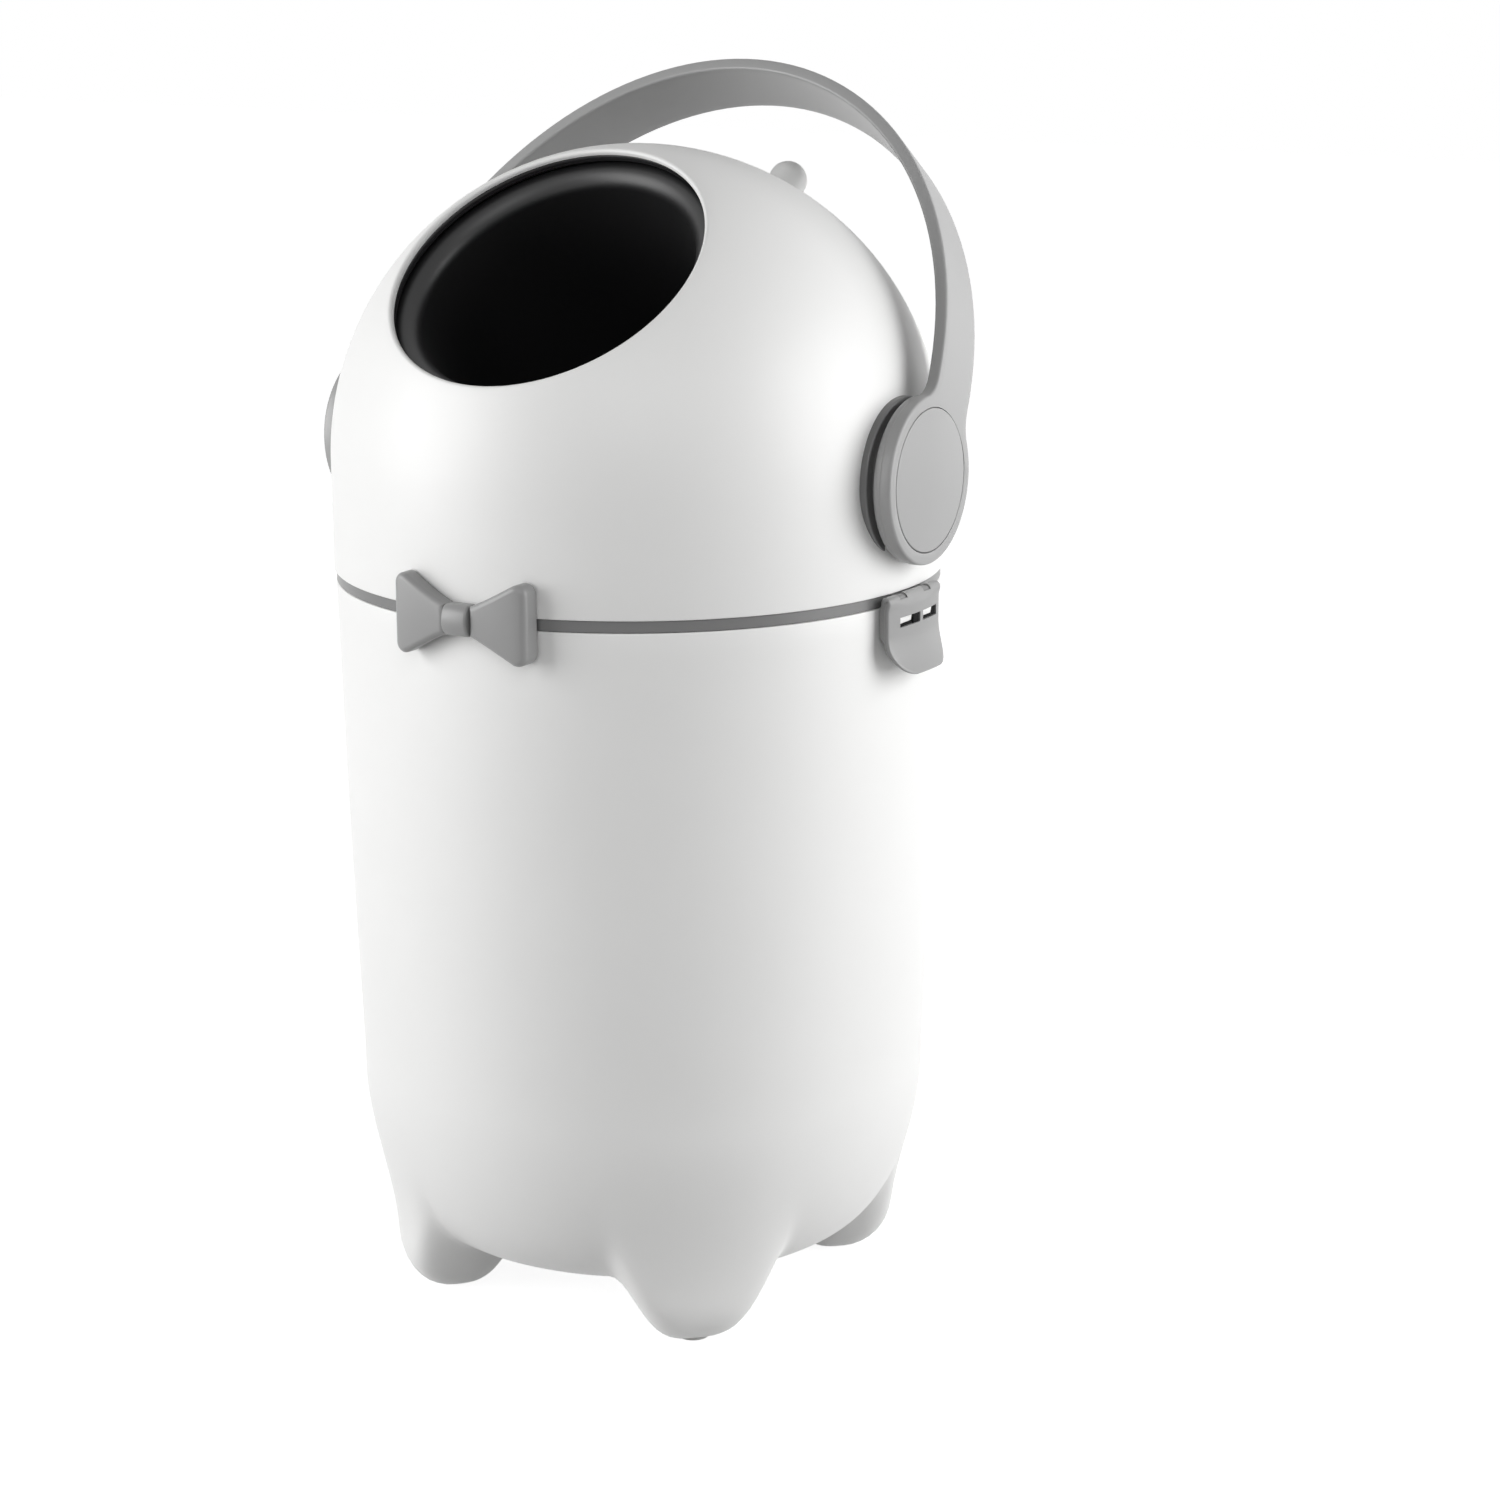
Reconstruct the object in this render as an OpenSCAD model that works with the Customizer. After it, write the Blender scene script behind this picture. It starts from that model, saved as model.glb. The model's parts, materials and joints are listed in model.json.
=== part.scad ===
// Nappy bin: a round bucket on four moulded feet, with a lift-off domed head.
// The handle turns a drum inside the head: its cup takes the nappy, tips it into
// the bag below, and the drum's closed side then fills the opening.
// Origin: on the floor under the bucket's axis. Z is up and the front faces -Y.

/* [Bucket] */
// Outer radius of the head where it meets the bucket
body_r = 140; // [136:1:146]
// How far the bucket's rim stands back from the head
rim_step = 1; // [0.6:0.1:2]
// Height of the bucket's rim above the floor
rim_z = 339; // [320:1:370]
// How much the wall draws in from the rim down to where the bottom starts to round in
wall_taper = 7; // [5:1:10]
// Height where the wall ends
low_z = 115; // [105:1:125]
// How far the wall bows out between its ends
wall_bow = 0.6; // [0:0.1:1]
// Thickness of the bucket's wall
bucket_wall = 2.8; // [2.4:0.1:3.2]
// Height of the underside between the feet
belly_z = 29; // [26:0.5:32]
// Radius at which the underside turns flat
belly_r = 91; // [84:1:96]

/* [Feet] */
// Distance from the wall's lower end in to the lowest point of a foot
foot_inset = 36; // [34:0.5:38]
// Radius of the rounded sole
foot_r = 22.5; // [21:0.5:26]
// Distance over which a foot spreads into the underside
foot_spread = 39.5; // [37:0.5:42]
// Radius of the rubber pad under a foot
pad_r = 7; // [6:0.5:9]
// Thickness of the rubber pad
pad_t = 1.8; // [1.4:0.1:2]
// How far the pad stands out of the sole
pad_proud = 0.3; // [0.2:0.1:0.6]

/* [Bag ring and seal] */
// Depth of the ring's skirt inside the bucket
skirt_h = 21; // [16:1:26]
// Thickness of the ring's skirt and lip
skirt_t = 1.8; // [1.4:0.1:2.2]
// Thickness of the flange that lies on the rim
bag_flange_t = 0.8; // [0.6:0.1:1]
// Depth of the ring's inner lip
bag_lip_h = 8.8; // [6:0.2:12]
// Width of the rubber seal above the flange
rim_seal_w = 2.2; // [1.8:0.1:2.4]

/* [Belt] */
// Visible height of the grey belt under the head
belt_h = 5.1; // [4.6:0.1:6]
// Gap between the rim and the belt
belt_gap = 0.4; // [0.3:0.05:0.6]
// How far the belt's face stands back from the rim
belt_step = 0.2; // [0.1:0.05:0.5]
// Thickness of the flange that carries the head
belt_flange_t = 4; // [3.6:0.1:4.4]
// Length of the guide lip inside the bag ring
guide_h = 7.5; // [5:0.5:10]

/* [Head] */
// Height of the straight side under the dome
dome_side = 49.5; // [48:0.5:58]
// Thickness of the dome
dome_wall = 3; // [2.6:0.1:3.4]
// Radius of the opening for the nappy
opening_r = 72.5; // [68:0.5:74]
// Tilt of the opening forward of vertical
opening_tilt = 38.3; // [32:0.1:42]
// Radius of an ear
ear_r = 9; // [7:0.5:11]
// Height of an ear above the dome
ear_h = 18; // [14:0.5:22]
// Tilt of the ears back from vertical
ear_back = 35.9; // [33:0.1:40]
// Angle of each ear out from the middle
ear_out = 11.6; // [9:0.1:16]

/* [Drum] */
// Gap between the dome's inside and the drum
drum_gap = 3.5; // [3:0.1:4.5]
// Width left between the cup's mouth and the drum's flat sides
drum_side_w = 9.7; // [9:0.1:12]
// Thickness of the drum's shell
drum_wall = 3; // [2.4:0.1:3.4]
// How far the cup's mouth stands inside the opening
cup_margin = 8.5; // [8.5:0.5:12]
// How much narrower the cup is at its bottom
cup_taper = 8; // [4:0.5:12]
// Thickness of the cup
cup_wall = 2.5; // [2:0.1:3]
// How far the cup's floor lies below the drum's axis
cup_floor = 20; // [10:1:30]
// Radius of the rounded lip of the cup
cup_lip_r = 8; // [6:0.5:9]

/* [Trunnions and bearings] */
// Radius of a trunnion
trunnion_r = 14; // [12:0.5:16]
// Radial play of a trunnion in its bearing
bearing_play = 0.06; // [0.03:0.01:0.1]
// How much smaller than the hub a bearing's flange is
bearing_step = 1.5; // [1:0.1:3]
// Thickness of a bearing's sleeve
sleeve_wall = 8; // [6:0.5:9]
// Width of the groove between a bearing's flange and the hub
bearing_groove_w = 2.4; // [2:0.1:2.6]
// Depth of that groove
bearing_groove_d = 2; // [1:0.1:2.5]
// How far the handle's hub stands clear of the bearing
hub_gap = 0.5; // [0.4:0.05:1]

/* [Handle] */
// How far the handle's outer faces stand out from the head
handle_out = 11.2; // [10.6:0.1:16]
// Reach of the handle from its axis to the top of its arch
handle_reach = 198.6; // [190:0.5:210]
// Length of the straight legs above the axis
leg_straight = 18; // [10:1:26]
// Width of the strap
strap_w = 34; // [28:1:38]
// Thickness of the strap
strap_t = 6; // [5:0.1:7]
// Radius of the round hub
hub_r = 37.5; // [36.5:0.5:40]
// Radius of the fillet from strap to hub
hub_fillet = 16; // [10:1:22]
// Lean of the handle back from vertical at rest
handle_back = 34.7; // [30:0.1:38]
// How far the handle turns forward
handle_turn = 149; // [140:1:152]
// Width of the hub's rim round its cap
cap_margin = 5.5; // [4:0.5:8]
// Thickness of the cap
cap_t = 2.5; // [2:0.1:2.8]

/* [Latches] */
// Width of a latch
latch_w = 48; // [44:1:54]
// Height of a latch
latch_h = 35; // [32:0.5:38]
// Thickness of a latch's face
latch_t = 2.4; // [2:0.1:2.8]
// How far a latch's face stands out from the belt
latch_out = 6.6; // [6.2:0.1:7.4]
// How far the finger lip flares out
latch_lip = 7; // [4:0.5:8]
// Radius of a latch's lower corners
latch_corner_r = 14; // [10:1:18]
// Radius of the hinge pin
pin_r = 1.2; // [1:0.05:1.3]
// Radius of the hinge barrel
barrel_r = 2.4; // [2.2:0.05:2.5]
// Height of the latch's windows
window_h = 4.5; // [3.5:0.1:5]

/* [Bow tie] */
// Half the width of the bow
bow_half_w = 33.5; // [28:0.5:38]
// Half the height of a wing at its outer end
bow_half_h = 16.7; // [14:0.1:19]
// Half the height of a wing beside the knot
bow_waist_h = 5.8; // [4:0.1:6]
// Thickness of the wings
bow_t = 9; // [7:0.5:11]
// Half the width of the knot
knot_half_w = 7.6; // [6.6:0.1:9]
// Half the height of the knot
knot_half_h = 6.4; // [6.1:0.1:7.5]

/* [Hidden] */

$fn = 96;
overrun = 1;
seat_gap = 0.1;
loose_gap = 0.4;

white = "#e9e9e8";
grey = "#a9a9ab";
dark_grey = "#77777a";
black = "#1c1c1e";
steel = "#b9bcc0";

// The bucket
foot_count = 4;
first_foot_angle = 45;
columns = 64;
rim_r = body_r - rim_step;
low_r = rim_r - wall_taper;
foot_offset = low_r - foot_inset;
pole_rise = 1.5;
foot_edge_z = pad_proud + foot_r;
flank_r = foot_offset + foot_r;
flank_top_share = 0.91;
flank_base_share = 0.8;
spread_power = 1.3;
outer_flank_steps = 6;
outer_sole_steps = 3;
outer_spread_steps = 5;
inner_flank_steps = 4;
inner_sole_steps = 2;
inner_spread_steps = 4;
wall_steps = 4;
flank_turn = 46;
sole_turn = 68;

// Screws: radius of the shank, of the head, and thickness of the head
ring_screw = [1.4, 3, 1.6];
bearing_screw = [1.2, 2.4, 1.4];
bow_screw = [1.1, 2, 1.2];
trunnion_screw = [1.4, 2.8, 1.6];
hub_screw = [1.6, 3, 1.8];
screw_play = 0.1;

// Heights and radii up the head
seam_z = rim_z + belt_gap + belt_h;
axis_z = seam_z + dome_side;
flange_z = seam_z - belt_flange_t;
dome_in_r = body_r - dome_wall;
drum_r = dome_in_r - drum_gap;
belt_r = rim_r - belt_step;
belt_lip_t = 1.1;
belt_lip_gap = 0.3;
belt_groove = 0.3;
belt_groove_w = 0.8;
bag_flange_r = belt_r - belt_lip_t - belt_lip_gap;
bag_top_z = rim_z + bag_flange_t;
bag_channel_t = 2;
seal_edge = 0.7;
seal_out_r = bag_flange_r - seal_edge;
seal_in_r = seal_out_r - rim_seal_w;
seal_bite = 1.1;
seal_top_z = flange_z + seal_bite;
ring_screw_count = 8;
ring_screw_r = seal_in_r - ring_screw[1] - 2 * screw_play - seat_gap;
ring_boss_r = 3.6;
ring_boss_h = 6.5;
ring_rib_t = 3;
dome_base_h = 9;
drum_at_seam_r = sqrt(pow(drum_r, 2) - pow(dome_side, 2));
guide_clear = 1.9;
guide_in_r = drum_at_seam_r + guide_clear;
bag_lip_in_r = guide_in_r + skirt_t + loose_gap;
skirt_r = bucket_r(rim_z - skirt_h) - bucket_wall - loose_gap;

// Opening and cup, along the opening's own axis
opening_depth = sqrt(pow(body_r, 2) - pow(opening_r, 2));
opening_chamfer = 1.2;
seal_band = 9.5;
seal_peep = 0.5;
mouth_margin = 5.8;
mouth_r = opening_r + mouth_margin;
drum_half_w = mouth_r + drum_side_w;
cup_r = opening_r - cup_margin;
cup_low_r = cup_r - cup_taper;
mouth_gap = 0.3;
cup_shoulder_w = 5;
cup_shoulder_t = 3;
cup_ledge_w = 4;
cup_ledge_t = 2;
// Where the wall ends and the lip begins, along the axis
cup_lip_z = sqrt(pow(drum_r - cup_lip_r, 2) - pow(cup_r + cup_lip_r, 2));
arc_step = 6;

// Bearings and trunnions, measured out along X
hub_clear = 1.6;
hub_t = handle_out - hub_clear;
handle_half_w = body_r + handle_out;
bearing_r = hub_r - bearing_step;
sleeve_r = trunnion_r + sleeve_wall;
bearing_face_x = handle_half_w - hub_t - hub_gap;
sleeve_reach = 14;
sleeve_in_x = body_r - sleeve_reach;
trunnion_flange_w = 12;
trunnion_flange_r = trunnion_r + trunnion_flange_w;
trunnion_flange_t = 4;
collar_w = 5;
collar_r = trunnion_r + collar_w;
collar_t = 4;
washer_t = 1.6;
washer_gap = 0.2;
hub_screw_inset = 6;
hub_screw_circle = trunnion_r - hub_screw_inset;
hub_screw_count = 3;
hub_screw_depth = 12;
trunnion_screw_circle = (trunnion_r + trunnion_flange_r) / 2;
trunnion_screw_count = 4;
trunnion_screw_len = 9;
bearing_screw_count = 3;
bearing_screw_circle = (sleeve_r + bearing_r) / 2;
bearing_screw_len = 6;
socket_depth = 3;
stop_r = 1.6;
stop_h = 2.4;
stop_track_r = bearing_screw_circle;
stop_angle = 180;
stop_play = 1;
track_play = 0.4;
cap_r = hub_r - cap_margin;
cap_play = 0.15;
arch_steps = 44;
side_steps = 6;

// Latches
pin_x = belt_r + barrel_r + loose_gap;
pin_z = seam_z - barrel_r - belt_lip_gap;
latch_r = belt_r + latch_out;
latch_in_r = latch_r - latch_t;
latch_top_z = pin_z + barrel_r;
latch_low_z = latch_top_z - latch_h;
latch_cove_w = 4.5;
latch_cove_h = 9;
latch_lip_h = 18;
latch_side_t = 2.4;
latch_side_clear = 1.4;
latch_side_in_r = belt_r + latch_side_clear;
hinge_lug_w = 6;
hinge_lug_y = 11;
hinge_lug_step = 0.2;
hinge_lug_r = barrel_r - hinge_lug_step;
hinge_side_gap = 0.3;
pin_end = 1;
pin_len = latch_w - 2 * pin_end;
pin_play = 0.05;
window_drop = 9;
window_z = rim_z - window_drop;
window_spans = [[-15, 2.3], [5, 20]];
catch_share = 0.64;
catch_gap = 0.4;
catch_edge = 0.4;
profile_steps = 6;
cove_first_step = 3;
rib_turn = 30;
rib_share = 0.7;

// Bow tie
bow_z = seam_z - belt_flange_t / 2;
bow_stand = 0.6;
bow_in_r = body_r + bow_stand;
bow_out_r = bow_in_r + bow_t;
bow_web_t = 4;
bow_screw_x = 3.6;
bow_screw_len = 7;
bow_pad_half_w = 6;
wing_curve = 1.1;
wing_share = 0.85;
bow_corner_r = 4;
knot_proud = 1;
knot_out_r = bow_out_r + knot_proud;
knot_wall = 1.6;
knot_edge = 2;

// Radius of the bucket's wall at a height
function bucket_r(z) =
    let (t = (z - low_z) / (rim_z - low_z))
    low_r + (rim_r - low_r) * t + wall_bow * sin(180 * t);

// Soft step from 0 to 1
function soft(t) = let (c = min(1, max(0, t))) c * c * (3 - 2 * c);

// How much of a foot there is at a distance from its middle, 1 under the middle and 0 at its edge
function foot_weight(d, reach) = d >= reach ? 0 : pow(cos(90 * pow(d / reach, spread_power)), 2);

// Angle from a column to the nearest foot
function to_foot(a) =
    let (pitch = 360 / foot_count, m = (a - first_foot_angle + 360) % pitch)
    min(m, pitch - m);

// Height of the underside between the feet at a radius, for a surface set in by a wall
function belly_at(r, inset) =
    r <= belly_r ? belly_z + inset
    : let (share = (r - belly_r) / (low_r - belly_r - inset))
      low_z - (low_z - belly_z - inset) * sqrt(max(0, 1 - pow(share, 2)));

// Radius of a foot's outer flank at a height
function flank_at(z, inset) =
    let (top = foot_edge_z + flank_top_share * (low_z - foot_edge_z),
         base = pad_proud + flank_base_share * foot_r)
    flank_r - inset + (low_r - flank_r) * soft((z - base) / (top - base));

// One row of the bottom as two points, between the feet and through a foot
function flank_row(f, inset) =
    let (a = f * flank_turn, z = low_z - f * (low_z - foot_edge_z))
    [[belly_r + (low_r - belly_r - inset) * cos(a), low_z - (low_z - belly_z - inset) * sin(a)],
     [flank_at(z, inset), z]];
function sole_row(g, inset) =
    let (a = flank_turn + g * (sole_turn - flank_turn), b = 90 * g, r = foot_r - inset)
    [[belly_r + (low_r - belly_r - inset) * cos(a), low_z - (low_z - belly_z - inset) * sin(a)],
     [foot_offset + r * cos(b), foot_edge_z - r * sin(b)]];
function spread_row(h, inset) =
    let (reach = foot_spread - inset, start = belly_r + (low_r - belly_r - inset) * cos(sole_turn),
         end = foot_offset - reach, d = h * reach, r = start + h * (end - start),
         z = pad_proud + inset + (belly_z - pad_proud) * (1 - foot_weight(d, reach)))
    [[r, belly_at(r, inset)], [foot_offset - d, z]];

// All rows of a surface of the bucket, from the rim down to the pole
function bucket_rows(inset, flanks, soles, spreads) = concat(
    [for (i = [0:wall_steps - 1])
        let (z = rim_z - i * (rim_z - low_z) / wall_steps, r = bucket_r(z) - inset) [[r, z], [r, z]]],
    [for (i = [0:flanks]) flank_row(i / flanks, inset)],
    [for (i = [1:soles]) sole_row(i / soles, inset)],
    [for (i = [1:spreads]) spread_row(i / spreads, inset)]);

// A ring of points round the axis for one row
function ring_points(row, inset) =
    let (reach = (foot_spread - inset) / foot_offset * 180 / PI)
    [for (j = [0:columns - 1]) let (a = 360 * j / columns, w = foot_weight(to_foot(a), reach),
        p = row[0] * (1 - w) + row[1] * w) [p[0] * cos(a), p[0] * sin(a), p[1]]];

// Flattens a list of rings into one list of points
function flat(rings) = [for (ring = rings) for (p = ring) p];

// Two triangles for each step along a band between ring m and ring n
function band(m, n) = [for (j = [0:columns - 1]) let (k = (j + 1) % columns)
    let (a = m * columns, b = n * columns) each [[a + j, a + k, b + k], [a + j, b + k, b + j]]];

// A fan of triangles from a ring to a pole
function fan(m, pole) = [for (j = [0:columns - 1]) [m * columns + j, m * columns + (j + 1) % columns, pole]];
function turned(faces) = [for (f = faces) [f[0], f[2], f[1]]];

module bucket_shell() {
    outer = bucket_rows(0, outer_flank_steps, outer_sole_steps, outer_spread_steps);
    inner = bucket_rows(bucket_wall, inner_flank_steps, inner_sole_steps, inner_spread_steps);
    rings = concat([for (row = outer) ring_points(row, 0)],
        [for (row = inner) ring_points(row, bucket_wall)]);
    no = len(outer);
    ni = len(inner);
    points = concat(flat(rings), [[0, 0, belly_z + pole_rise], [0, 0, belly_z + pole_rise + bucket_wall]]);
    pole = (no + ni) * columns;
    faces = concat(
        [for (i = [0:no - 2]) each band(i, i + 1)],
        fan(no - 1, pole),
        [for (i = [no:no + ni - 2]) each turned(band(i, i + 1))],
        turned(fan(no + ni - 1, pole + 1)),
        turned(band(0, no)));
    polyhedron(points, faces, convexity = 6);
}

module at_feet() {
    for (i = [0:foot_count - 1])
        rotate([0, 0, first_foot_angle + 360 * i / foot_count])
            translate([foot_offset, 0, 0]) children();
}

// Two lugs on each side of the bucket, which show in the latches' windows
module catch_lugs() {
    intersection() {
        union() {
            for (span = window_spans) {
                width = (span[1] - span[0]) * catch_share;
                translate([rim_r - bucket_wall / 2, span[0] + catch_edge, window_z + catch_edge])
                    cube([latch_out + bucket_wall, width, window_h - 2 * catch_edge]);
            }
        }
        cylinder(r = latch_in_r - catch_gap, h = rim_z);
    }
}

module bin_body() {
    color(white) difference() {
        union() {
            bucket_shell();
            catch_lugs();
            mirror([1, 0, 0]) catch_lugs();
        }
        at_feet() translate([0, 0, -overrun]) cylinder(r = pad_r + seat_gap, h = pad_t + overrun);
    }
}

module foot_pads() {
    color(dark_grey) at_feet() cylinder(r = pad_r, h = pad_t);
}

// Clamps the bag against the bucket's inside
module bag_ring() {
    under_z = bag_top_z - bag_channel_t - bag_flange_t;
    color(dark_grey) rotate_extrude() polygon([
        [bag_flange_r, bag_top_z], [bag_lip_in_r, bag_top_z], [bag_lip_in_r, bag_top_z - bag_lip_h],
        [bag_lip_in_r + skirt_t, bag_top_z - bag_lip_h], [bag_lip_in_r + skirt_t, under_z],
        [skirt_r - skirt_t, under_z], [skirt_r - skirt_t, rim_z - skirt_h], [skirt_r, rim_z - skirt_h],
        [skirt_r, rim_z], [bag_flange_r, rim_z]]);
}

// Puts a screw with its head's outer face at the origin and its shank along +Z
module screw(size, len) {
    cylinder(r = size[1], h = size[2]);
    cylinder(r = size[0], h = len);
}

// The hole and counterbore for a screw
module screw_hole(size, len) {
    translate([0, 0, -overrun]) cylinder(r = size[1] + screw_play, h = size[2] + overrun);
    cylinder(r = size[0] + screw_play / 2, h = len);
}

module at_ring_screws() {
    for (i = [0:ring_screw_count - 1])
        rotate([0, 0, 360 * (i + 0.5) / ring_screw_count])
            translate([ring_screw_r, 0, flange_z]) children();
}

// Lugs that carry the pin of the right latch
module hinge_lugs() {
    for (side = [-1, 1]) translate([0, side * hinge_lug_y, pin_z]) difference() {
        union() {
            translate([pin_x, hinge_lug_w / 2, 0]) rotate([90, 0, 0])
                cylinder(r = hinge_lug_r, h = hinge_lug_w);
            translate([belt_r - belt_lip_t - hinge_lug_r, -hinge_lug_w / 2, -hinge_lug_r])
                cube([pin_x - belt_r + belt_lip_t + hinge_lug_r, hinge_lug_w, 2 * hinge_lug_r]);
        }
        translate([pin_x, hinge_lug_w / 2 + overrun, 0]) rotate([90, 0, 0])
            cylinder(r = pin_r, h = hinge_lug_w + 2 * overrun);
        translate([0, 0, -pin_z]) cylinder(r = belt_r - belt_lip_t, h = rim_z + belt_h);
    }
}

// Places a screw through the bow into the belt, with its head outwards
module at_bow_screws() {
    for (side = [-1, 1])
        translate([side * bow_screw_x, -(bow_in_r + bow_web_t), bow_z]) rotate([-90, 0, 0]) children();
}

module belt_ring() {
    color(grey) difference() {
        union() {
            rotate_extrude() polygon([
                [belt_r, rim_z + belt_gap], [belt_r, seam_z - belt_groove],
                [belt_r - belt_groove_w, seam_z - belt_groove], [belt_r - belt_groove_w, seam_z],
                [guide_in_r, seam_z], [guide_in_r, flange_z - guide_h],
                [guide_in_r + skirt_t, flange_z - guide_h], [guide_in_r + skirt_t, flange_z],
                [seal_in_r - seat_gap, flange_z], [seal_in_r - seat_gap, seal_top_z],
                [seal_out_r + seat_gap, seal_top_z], [seal_out_r + seat_gap, flange_z],
                [belt_r - belt_lip_t, flange_z], [belt_r - belt_lip_t, rim_z + belt_gap]]);
            hinge_lugs();
            mirror([1, 0, 0]) hinge_lugs();
            intersection() {
                translate([-bow_pad_half_w, -bow_in_r, bow_z - belt_flange_t / 2 + seat_gap])
                    cube([2 * bow_pad_half_w, bow_in_r - belt_r + belt_lip_t,
                        belt_flange_t - seat_gap - belt_groove]);
                cylinder(r = bow_in_r - seat_gap, h = seam_z);
            }
        }
        at_ring_screws() translate([0, 0, screw_play]) screw_hole(ring_screw, belt_flange_t + overrun);
        at_bow_screws() screw_hole(bow_screw, bow_screw_len + loose_gap);
    }
}

module rim_seal() {
    color(black) rotate_extrude()
        translate([seal_in_r, bag_top_z]) square([rim_seal_w, seal_top_z - bag_top_z]);
}

// Solid of revolution with a straight side and a half ball on top
module dome_form(r) {
    translate([0, 0, axis_z]) difference() {
        sphere(r = r);
        translate([0, 0, -r - overrun]) cylinder(r = r + overrun, h = r + overrun);
    }
    translate([0, 0, seam_z]) cylinder(r = r, h = dome_side);
}

// Turns children from the vertical to the opening's axis, about the drum's centre
module on_opening_axis() {
    translate([0, 0, axis_z]) rotate([opening_tilt, 0, 0]) children();
}

module at_bearing_screws() {
    for (i = [0:bearing_screw_count - 1])
        translate([bearing_face_x - seat_gap, 0, axis_z]) rotate([360 * i / bearing_screw_count, 0, 0])
            translate([-bearing_screw_len - bearing_screw[2], 0, bearing_screw_circle])
                rotate([0, 90, 0]) children();
}

module ears() {
    stem = ear_h - ear_r;
    for (side = [-1, 1]) translate([0, 0, axis_z]) rotate([-ear_back, 0, 0]) rotate([0, side * ear_out, 0])
        rotate_extrude() polygon(concat([[0, dome_in_r + dome_wall / 2], [ear_r, dome_in_r + dome_wall / 2]],
            [for (a = [0:15:90]) [ear_r * cos(a), body_r + stem + ear_r * sin(a)]]));
}

module dome_shell() {
    color(white) difference() {
        union() {
            difference() {
                dome_form(body_r);
                dome_form(dome_in_r);
                translate([0, 0, seam_z - overrun])
                    cylinder(r = body_r + overrun, h = overrun + dome_base_h);
            }
            ears();
        }
        on_opening_axis() {
            cylinder(r = opening_r, h = 2 * body_r);
            translate([0, 0, opening_depth - opening_chamfer])
                cylinder(r1 = opening_r, r2 = opening_r + 2 * opening_chamfer, h = 2 * opening_chamfer);
        }
        translate([-2 * body_r, 0, axis_z]) rotate([0, 90, 0])
            cylinder(r = sleeve_r + seat_gap, h = 4 * body_r);
        at_bearing_screws() screw_hole(bearing_screw, bearing_screw_len + bearing_screw[2]);
        mirror([1, 0, 0]) at_bearing_screws() screw_hole(bearing_screw, bearing_screw_len + bearing_screw[2]);
    }
}

// Lower band of the dome's moulding, with the bosses for the ring screws
module dome_base() {
    color(white) difference() {
        union() {
            translate([0, 0, seam_z]) difference() {
                cylinder(r = body_r, h = dome_base_h);
                translate([0, 0, -overrun]) cylinder(r = dome_in_r, h = dome_base_h + 2 * overrun);
            }
            at_ring_screws() translate([0, 0, belt_flange_t]) {
                cylinder(r = ring_boss_r, h = ring_boss_h);
                translate([0, -ring_rib_t / 2, 0])
                    cube([dome_in_r + dome_wall / 2 - ring_screw_r, ring_rib_t, ring_boss_h]);
            }
        }
        at_ring_screws()
            cylinder(r = ring_screw[0] + screw_play / 2, h = belt_flange_t + ring_boss_h - overrun);
    }
}

// Points of an arc about the drum's centre between two radii from the opening's axis
function arc_points(r, from_r, to_r) =
    let (a = asin(from_r / r), b = asin(to_r / r))
    [for (i = [0:arc_step]) let (t = a + (b - a) * i / arc_step) [r * sin(t), r * cos(t)]];

module opening_seal() {
    color(black) on_opening_axis() rotate_extrude() polygon(concat(
        arc_points(drum_r + belt_lip_gap, opening_r - seal_peep, opening_r + seal_band),
        arc_points(dome_in_r - seat_gap, opening_r + seal_band, opening_r - seal_peep)));
}

module bearing_ring_right() {
    color(grey) difference() {
        union() {
            difference() {
                translate([0, 0, axis_z]) rotate([0, 90, 0]) cylinder(r = bearing_r, h = bearing_face_x);
                dome_form(body_r + seat_gap);
                translate([bearing_face_x - bearing_groove_w, 0, axis_z]) rotate([0, 90, 0]) difference() {
                    cylinder(r = bearing_r + overrun, h = bearing_groove_w + overrun);
                    translate([0, 0, -overrun])
                        cylinder(r = bearing_r - bearing_groove_d, h = bearing_groove_w + 3 * overrun);
                }
            }
            translate([sleeve_in_x, 0, axis_z]) rotate([0, 90, 0])
                cylinder(r = sleeve_r, h = bearing_face_x - sleeve_in_x);
            translate([bearing_face_x - overrun, 0, axis_z]) rotate([stop_angle, 0, 0])
                translate([0, 0, stop_track_r]) rotate([0, 90, 0]) cylinder(r = stop_r, h = stop_h + overrun);
        }
        translate([sleeve_in_x - overrun, 0, axis_z]) rotate([0, 90, 0])
            cylinder(r = trunnion_r + bearing_play, h = bearing_face_x);
        at_bearing_screws()
            cylinder(r = bearing_screw[0] + screw_play / 2, h = bearing_screw_len + bearing_screw[2]);
    }
}

module bearing_ring_left() {
    mirror([1, 0, 0]) bearing_ring_right();
}

module bearing_screws() {
    color(steel) for (side = [0, 1]) mirror([side, 0, 0])
        at_bearing_screws() screw(bearing_screw, bearing_screw_len + bearing_screw[2] - overrun);
}

module ring_screws() {
    color(steel) at_ring_screws() translate([0, 0, screw_play])
        screw(ring_screw, belt_flange_t + ring_boss_h / 2);
}

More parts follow.
